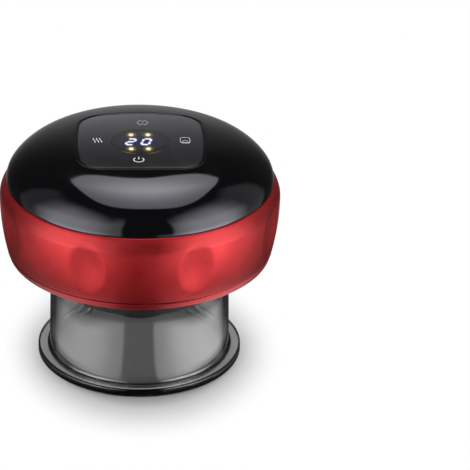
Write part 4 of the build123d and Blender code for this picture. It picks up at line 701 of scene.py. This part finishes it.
def smoked_panel():
    """Satin smoked panel: dark grey, with a painted sheen that makes it paler to the back, and with
    the light of the digits and of the four lamps bleeding into it."""
    finish = Finish("smoked_panel", IOR=1.5, Emission_Strength=1.0, Specular_IOR_Level=0.35)
    x, y, _ = finish.axes()
    down = y - DISPLAY_Y
    cloud = finish.between(finish.noise(6, 3), 0.3, 0.7)
    rise = (y + 26) * (1 / 49)  # from the panel's near side to its far side
    reach = (x * x + down * down) ** 0.5
    lamp_x, lamp_y = (x - LAMP_SHIFT).away() - LAMP_X, down.away() - LAMP_Y
    halo = ((lamp_x / 1.6) ** 2 + (lamp_y / 2.2) ** 2).fade()
    arc_ends = ((x.away() - 4.4) / 2.0).fade() * finish.between(0 - down, 4.0, 8.0)
    low_arc = ((reach - 9.95) / 0.2).fade() * arc_ends
    blue = (x / 5.2).fade() * (down / 3.4).fade()
    warm = finish.mix((halo * 0.6 + low_arc).at_most(1.0), (0, 0, 0), (0.26, 0.22, 0.06))
    cool = finish.mix(blue, (0, 0, 0), (0.008, 0.008, 0.075))
    # painted sheen: the panel's grey grows paler to the back, with a little random tone, and is
    # held down round the display
    painted_sheen_grade = (rise ** 2.2 * (1 - x * 0.008) + cloud * 0.01) * (1 - blue * 0.7)
    return finish.set(
        Base_Color=finish.mix(painted_sheen_grade, (0.003, 0.003, 0.0042), (0.087, 0.088, 0.098)),
        Roughness=cloud * 0.04 + 0.3,
        Emission_Color=finish.mix(1.0, warm, cool, "ADD"),
        Normal=finish.dent(finish.noise(0.22, 2), 0.0012, 0.5),
    )


def satin_red():
    """Metallic red lacquer on plastic: fine flake, a satin coat and a little drift in its depth.
    Its colour carries painted shade, darker in a band under the seam and towards the ring's foot."""
    finish = Finish("satin_red", IOR=1.5, Coat_Weight=0.16, Coat_Roughness=0.22)
    _, _, z = finish.axes()
    drift = finish.between(finish.noise(9, 3), 0.3, 0.7)
    flake = finish.noise(0.16, 2)
    # painted shade: the colour darkens in a band just under the seam
    painted_shade_under_seam = finish.between(z, 62.0, 65.0) * finish.between(z, 68.6, 66.6) * 0.42
    # painted shade: the colour darkens towards the ring's foot
    low = finish.between(z, 54, 43) * 0.45
    lacquer = finish.mix(drift, (0.43, 0.018, 0.021), (0.47, 0.022, 0.026))
    return finish.set(
        Base_Color=finish.mix(painted_shade_under_seam + low, lacquer, (0.1, 0.003, 0.004)),
        Metallic=flake * 0.14 + 0.74,
        Roughness=drift * 0.04 + 0.34,
        Normal=finish.dent(flake, 0.004, 0.35),
    )


def clear_cup():
    """Clear, slightly smoky moulded plastic with faint handling haze. Its colour carries painted
    shade: dark where it is seen along its wall, round the flange's rim and in a line round the
    wall's foot."""
    finish = Finish("clear_cup", IOR=1.49, Transmission_Weight=1.0, Specular_IOR_Level=0.75,
                    Coat_IOR=1.9, Coat_Roughness=0.01)
    x, y, z = finish.axes()
    reach = (x * x + y * y) ** 0.5
    haze = finish.between(finish.noise(8, 3), 0.45, 0.8)
    facing = finish.add("ShaderNodeLayerWeight", inputs={"Blend": 0.5}, output="Facing")
    # painted shade: the colour goes dark where the wall is seen edge-on
    edge = finish.between(facing, 0.56, 0.70)
    # painted shade: the colour goes dark round the flange's rim
    rim = finish.between(reach, FLANGE_RADIUS - 1.0, FLANGE_RADIUS - 0.5)
    # painted shade: a dark line round the wall's foot
    foot = ((reach - 33.3) / 0.28).fade()
    foot = foot * finish.between(z, 4.2, 3.6) * finish.between(z, 2.4, 2.9)
    # all the painted shade together, which also takes the coat away
    dark = (edge + rim + foot).at_most(1.0)
    smoke = finish.mix(haze, (0.84, 0.845, 0.85), (0.80, 0.805, 0.81))
    return finish.set(
        Base_Color=finish.mix(dark, smoke, (0.004, 0.004, 0.005)),
        Roughness=haze * 0.03 + 0.008,
        Coat_Weight=(1 - dark) * finish.between(z, 28.3, 26.3, 0.0, 0.9),
        Normal=finish.dent(finish.noise(9, 1), 0.003, 0.3),
    )


def lit(name, edge, colour):
    """A lamp seen through the panel: its colour drifts slightly over its face."""
    finish = Finish(name, Emission_Strength=1.0, Roughness=0.4)
    drift = finish.between(finish.noise(1.2, 1), 0.35, 0.65)
    return finish.set(
        Base_Color=finish.mix(drift, (0.02, 0.02, 0.02), (0.05, 0.05, 0.05)),
        Emission_Color=finish.mix(drift, edge, colour),
    )


def copper_wire(pitch=0.35):
    """Enamelled wire: even grooves across the winding's axis, with a slow drift in colour."""
    finish = Finish("copper_wire", Metallic=0.85, Coat_Weight=0.5, Coat_Roughness=0.1)
    values = {"Vector": finish.place(), "Scale": 0.314 / (pitch * MM), "Distortion": 0.4}
    turns = finish.add("ShaderNodeTexWave", {"bands_direction": "X"}, values)
    drift = finish.between(finish.noise(1.5, 2), 0.3, 0.7)
    return finish.set(
        Base_Color=finish.mix(turns * 0.6 + drift * 0.4, (0.46, 0.16, 0.06), (0.72, 0.30, 0.13)),
        Roughness=0.4 - turns * 0.15,
        Normal=finish.dent(turns, 0.08),
    )


BLACK, RED, PANEL, GLASS = gloss_black(), satin_red(), smoked_panel(), clear_cup()
PRINT = plain("print_white", (0.50, 0.50, 0.51), (0.62, 0.62, 0.63), (0.35, 0.5),
              size=0.8, depth=0.002)
DIM_PRINT = plain("print_grey", (0.26, 0.26, 0.27), (0.34, 0.34, 0.35), (0.35, 0.5),
                  size=0.8, depth=0.002)
TRACE = plain("panel_trace", (0.006, 0.006, 0.007), (0.010, 0.010, 0.012), (0.12, 0.2),
              size=2.0, depth=0.002)
DIGIT = lit("digit_light", (0.66, 0.66, 1.0), (0.95, 0.94, 1.0))
AMBER = lit("level_light", (0.92, 0.76, 0.34), (1.0, 0.90, 0.55))

# The plain finishes: the slot, two colours, two roughnesses, and what else sets each apart
PLAIN_FINISHES = (
    ("screw_steel", (0.42, 0.42, 0.43), (0.55, 0.55, 0.56), (0.25, 0.4),
     dict(size=0.8, Metallic=1.0)),
    ("rubber", (0.016, 0.016, 0.017), (0.026, 0.026, 0.027), (0.55, 0.75),
     dict(size=2.0, depth=0.02)),
    ("chamber_black", (0.002, 0.002, 0.0022), (0.0035, 0.0035, 0.004), (0.2, 0.3),
     dict(size=5.0, depth=0.003, Specular_IOR_Level=0.2)),
    ("filter_felt", (0.52, 0.50, 0.46), (0.72, 0.70, 0.66), (0.9, 1.0),
     dict(size=0.3, grain=0.08, depth=0.08)),
    ("warm_metal", (0.45, 0.45, 0.48), (0.49, 0.49, 0.52), (0.36, 0.42),
     dict(size=7, grain=0.12, depth=0.004, Metallic=0.9)),
    ("heater_film", (0.40, 0.16, 0.03), (0.52, 0.22, 0.05), (0.2, 0.35),
     dict(size=1.5, Coat_Weight=0.3)),
    ("magnet", (0.50, 0.49, 0.46), (0.62, 0.61, 0.58), (0.12, 0.22),
     dict(name="magnet_nickel", Metallic=1.0)),
    ("circuit_board", (0.010, 0.07, 0.028), (0.018, 0.11, 0.045), (0.3, 0.45),
     dict(size=1.4, depth=0.015, Coat_Weight=0.3)),
    ("light_amber", (0.26, 0.20, 0.08), (0.34, 0.27, 0.12), (0.3, 0.45),
     dict(name="unlit_lamp", size=0.6, depth=0.003)),
    ("inner_black", (0.018, 0.018, 0.019), (0.030, 0.030, 0.031), (0.4, 0.55),
     dict(size=2.5, depth=0.012)),
    ("pad_foam", (0.05, 0.05, 0.052), (0.09, 0.09, 0.092), (0.9, 1.0),
     dict(size=0.5, grain=0.15, depth=0.1)),
    ("plain_steel", (0.40, 0.41, 0.42), (0.52, 0.53, 0.54), (0.25, 0.38),
     dict(size=4, stretch=(0.15, 1, 1), Metallic=1.0)),
    ("cell_wrap", (0.02, 0.10, 0.28), (0.03, 0.13, 0.34), (0.22, 0.34),
     dict(size=5, Coat_Weight=0.4)),
    ("nickel", (0.56, 0.53, 0.47), (0.68, 0.65, 0.59), (0.2, 0.32),
     dict(size=1.5, Metallic=1.0)),
    ("white_plastic", (0.66, 0.65, 0.62), (0.74, 0.73, 0.70), (0.35, 0.5),
     dict(size=2.5, depth=0.012)),
    ("brass", (0.62, 0.42, 0.13), (0.74, 0.52, 0.19), (0.22, 0.36),
     dict(size=1.5, Metallic=1.0)),
    ("hose_silicone", (0.60, 0.60, 0.58), (0.70, 0.70, 0.68), (0.4, 0.55),
     dict(size=4, Subsurface_Weight=0.2, Subsurface_Scale=0.002)),
)

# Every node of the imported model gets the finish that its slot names
FINISHES = {
    "black_gloss": BLACK,
    "panel_gloss": PANEL,
    "red_satin": RED,
    "clear_glass": GLASS,
    "digit_white": DIGIT,
    "copper_wire": copper_wire(),
}
for slot, dark, light, roughness, more in PLAIN_FINISHES:
    FINISHES[slot] = plain(more.pop("name", slot), dark, light, roughness, **more)
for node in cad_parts.values():
    for holder in node.material_slots:
        holder.material = FINISHES[holder.material.name.split(".")[0]].material


# Pieces

bosses = [boss_shell(angle) for angle in DIAGONALS]
piece(made("dome_cover", top_cover_shell(), *bosses), BLACK, "black_gloss", "housing", "top_cover")
piece(made("touch_panel", panel_shell()), PANEL, "panel_gloss", "housing", "control_panel")

ring = cut(made("side_ring_shell", side_ring_shell()), slot_cutter())
piece(ring, RED, "red_satin", "housing", "side_ring")
ears = [ear_shell(angle) for angle in QUARTERS]
piece(made("ring_ears", *ears), RED, "red_satin", "housing")

foot_radius = CUP_RADIUS + CUP_FLARE
cup_section = [
    (FLANGE_RADIUS, 0, FLANGE_ROUND),
    (FLANGE_RADIUS, FLANGE_THICKNESS, FLANGE_ROUND),
    (foot_radius, FLANGE_THICKNESS, FOOT_ROUND),
    (CUP_RADIUS, CUP_NECK_FOOT, 0),
    (CUP_RADIUS, CUP_HEIGHT, CUP_RIM_ROUND),
    (CUP_RADIUS - CUP_WALL, CUP_HEIGHT, CUP_RIM_ROUND),
    (CUP_RADIUS - CUP_WALL, CUP_NECK_FOOT, 0),
    (foot_radius - CUP_WALL, 0, FLANGE_ROUND),
]
piece(made("suction_cup", turned(rounded(cup_section), 384)), GLASS, "clear_glass", "cup", "cup")

spring = made("valve_coil", coil_shell())
piece(spring, FINISHES["plain_steel"], "plain_steel", "housing", "valve_spring")
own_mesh(spring)

bars = [bar for x, names in DIGIT_PLACES for bar in digit(x, names)]
piece(made("digits", *bars), DIGIT, "digit_white", "housing")
lamps = [lamp_mark(x, y) for x in (-LAMP_X, LAMP_X) for y in (-LAMP_Y, LAMP_Y)]
piece(made("level_spots", *lamps), AMBER, "light_amber", "housing")
printed = (*wave_marks(), *power_marks(), *dial_marks())
piece(made("printed_marks", *printed), PRINT, "panel_gloss", "housing")
piece(made("massage_mark", lobes_mark()), DIM_PRINT, "panel_gloss", "housing")
traces = [ring_mark(radius, width, DISPLAY_Y) for radius, width in TRACES]
piece(made("display_traces", *traces), TRACE, "panel_gloss", "housing")


# The room


def softbox(name, size, spot, aim, radiance, pattern):
    """A rectangular area lamp at a spot that faces a point. Its power is radiance times pi times
    its area, and a pattern of its own points' x, y and z in metres gives the share of that at
    each."""
    lamp = bpy.data.lights.new(name, "AREA")
    lamp.shape, (lamp.size, lamp.size_y) = "RECTANGLE", size
    lamp.energy = radiance * math.pi * size[0] * size[1]
    lamp.use_nodes = True
    face = Tree(lamp.node_tree)
    x, y, z = face.parts(face.add("ShaderNodeNewGeometry", output="Position"))
    glow = face.add("ShaderNodeEmission", inputs={"Strength": pattern(face, x, y, z)})
    face.add("ShaderNodeOutputLight", inputs={"Surface": glow})
    toward = (Vector(aim) - Vector(spot)).to_track_quat("-Z", "Y").to_matrix().to_4x4()
    added(name, lamp).matrix_world = Matrix.Translation(spot) @ toward


def overhead(face, x, y, z):
    """A rectangle with round corners and a slight hollow in its far side, brightest behind the
    middle."""
    u, v = (x - 0.04) * (1 / 0.31), (y - 0.205) * (1 / 0.40)
    hollow = ((u + 0.13) * 2.8).fade() * face.between(v, 0.0, 0.6) * 0.2
    outline = u.away() ** 3 + (v + hollow).away() ** 3
    past = v - 0.2
    bell = past.at_most(0.0) * (1 / 0.75) + past.at_least(0.0) * (1 / 0.45)
    return face.between(outline, 1.08, 0.88) * (bell.fade() * (u * 1.5).fade() * 0.67 + 0.33)


def across(x, y):
    """How far a point of a side lamp lies behind the lamp's middle, as a share of 0.6 m."""
    along_x, along_y = SIDE_ALONG
    return x.away() * (along_x / 0.6) + y * (along_y / 0.6)


def on_left(face, x, y, z):
    """Brightest low down and in the middle of its width. It fades away upwards and to the back,
    and to a third at its front edge."""
    u = across(x, y)
    lift = z - face.between(u, -0.6, -0.95) * 0.3
    front = face.between(u, -1.12, -0.98) * (face.between(u, -0.95, -0.15) * 0.7 + 0.3)
    return face.between(u, 0.75, 0.05) * front * face.between(lift, 1.04, 0.2)


def on_right(face, x, y, z):
    """As on the left, with its front edge further back."""
    u = across(x, y)
    front = face.between(u, -0.79, -0.69) * face.between(u, -1.05, -0.2)
    return face.between(u, 0.75, 0.05) * front * face.between(z, 1.04, 0.2)


def low_glow(tree, x, y):
    """What a mirror sees below the horizon: light at both sides of the front, dark in the middle
    and behind, by the share of x and y."""
    reach = (x * x + y * y) ** 0.5
    east = (x / reach + 0.025).away()
    sides = tree.between(east, 0.22, 0.30) * 0.45 + tree.between(east, 0.30, 0.75) * 0.55
    return (x / reach * 0.22 + 0.98) * sides * tree.between(y / reach, 0.45, -0.6)


def ray_kinds(tree):
    """Whether the ray is the camera's, a mirrored one, or one through glass."""
    kinds = tree.add("ShaderNodeLightPath").socket.node.outputs
    names = ("Is Camera Ray", "Is Glossy Ray", "Is Transmission Ray")
    seen, gloss, through = [Link(tree, kinds[name]) for name in names]
    return seen, gloss * (1 - through), through


def hang_studio():
    """The room is pale low behind the object and dark above and elsewhere, with a pale strip on
    each side wall. The camera sees it white all round."""
    world = bpy.data.worlds.new("studio")
    world.use_nodes = True
    bpy.context.scene.world = world
    air = Tree(world.node_tree)
    seen, mirror, through = ray_kinds(air)
    east, north, rise = air.parts(air.add("ShaderNodeTexCoord", output="Generated"))
    backdrop = (east / 0.3).fade() * air.between(north, 0.0, 0.2) * air.between(rise, 0.58, 0.05)
    flat = (1 - rise * rise) ** 0.5
    right_wall = air.between((east * 0.95 + north * 0.31) / flat, 0.94, 0.985) * 0.28
    left_wall = air.between((north * 0.24 - east * 0.97) / flat, 0.955, 0.99) * 0.2
    walls = (right_wall + left_wall) * air.between(rise, 0.81, 0.69)
    below = low_glow(air, east, north) * air.between(rise, -0.15, -0.42)
    mirrored = mirror * (backdrop * 0.36 + below * 1.45 + walls + 0.03)
    refracted = through * (backdrop * 0.9 + 0.04)
    level = mirrored + refracted + (1 - mirror - through) * (seen * 0.7 + 0.3)
    sky = air.add("ShaderNodeBackground", inputs={"Color": WHITE, "Strength": level})
    air.add("ShaderNodeOutputWorld", inputs={"Surface": sky})


def lay_floor(columns=128):
    """A disc of paper with a painted shadow in its colour under the object. The camera sees it fade
    to white, and a mirror and a ray through glass see lights of their own there."""
    angle = np.arange(columns) * TURN / columns
    rim = laid(angle, FLOOR_RADIUS, np.full(columns, -FLOOR_DROP))
    mesh = bpy.data.meshes.new("floor")
    mesh.from_pydata(rim.tolist(), [], [list(range(columns))])
    paper = Finish("paper", Roughness=0.85)
    x, y, _ = paper.axes()
    reach, near = (x * x + y * y) ** 0.5, ((x - 1) * (x - 1) * 1.7 + y * y) ** 0.5
    wide = (x * x * 1.5 + y * y) ** 0.5
    # painted shadow: the paper's colour is darker near the object, reaching further to front and
    # back than to the sides
    clear = paper.between(near, 37, 46) + paper.noise(60, 2) * 0.04
    paper.set(Base_Color=paper.mix(clear, (0.41, 0.42, 0.425), (0.625, 0.64, 0.645)))
    seen, mirror, through = ray_kinds(paper)
    mirrored = low_glow(paper, x, y) * paper.between(wide, 96, 84, 0.35, 1.95)
    mirrored = mirrored * paper.between(reach, 38, 50)
    under_flange = paper.between(reach, 32.5, 33.5) * paper.between(reach, 37.5, 36.5)
    refracted = under_flange * paper.between(x.away(), 22, 8, 0.6, 1.3)
    looks = (
        (paper.between(near, 38, 68) * seen, 1.0),
        (mirror, mirrored + 0.05),
        (through * 0.5, refracted + 0.05),
    )
    surface = paper.shader
    for share, strength in looks:
        glow = paper.add("ShaderNodeEmission", inputs={"Color": WHITE, "Strength": strength})
        surface = paper.add("ShaderNodeMixShader", inputs={0: share, 1: surface, 2: glow})
    paper.tree.links.new(surface.socket, paper.tree.nodes["Material Output"].inputs["Surface"])
    mesh.materials.append(paper.material)
    return added("floor", mesh)


def set_camera():
    """The camera looks down and a little past the object's right, and is rolled slightly."""
    camera = added("camera", bpy.data.cameras.new("camera"))
    bpy.context.scene.camera = camera
    camera.data.sensor_width = SENSOR
    camera.data.lens = LENS_PIXELS * SENSOR / FRAME_PIXELS
    camera.data.clip_end = 20
    swing = Matrix.Rotation(SWING, 3, "Z")
    ahead = swing @ Vector((0, math.cos(LOOK_DOWN), -math.sin(LOOK_DOWN)))
    right = swing @ Vector((1, 0, 0))
    ahead = (ahead * LENS_PIXELS + right * AIM_PIXELS).normalized()
    up = swing @ Vector((0, math.sin(LOOK_DOWN), math.cos(LOOK_DOWN)))
    right = ahead.cross(up)
    cos, sin = math.cos(ROLL), math.sin(ROLL)
    right, up = right * cos + up * sin, up * cos - right * sin
    turn = Matrix((right, up, -ahead)).transposed().to_4x4()
    camera.matrix_world = Matrix.Translation(swing @ Vector(CAMERA_SPOT)) @ turn


softbox("overhead_softbox", OVERHEAD_SIZE, OVERHEAD_SPOT, OVERHEAD_AIM, 4.4, overhead)
softbox("left_softbox", SIDE_SIZE, (-SIDE_X, SIDE_Y, SIDE_Z), (0, 0, SIDE_Z), 3.3, on_left)
softbox("right_softbox", SIDE_SIZE, (SIDE_X, SIDE_Y, SIDE_Z), (0, 0, SIDE_Z), 3.8, on_right)
hang_studio()
floor = lay_floor()
set_camera()
bpy.context.scene.view_settings.view_transform = "Standard"
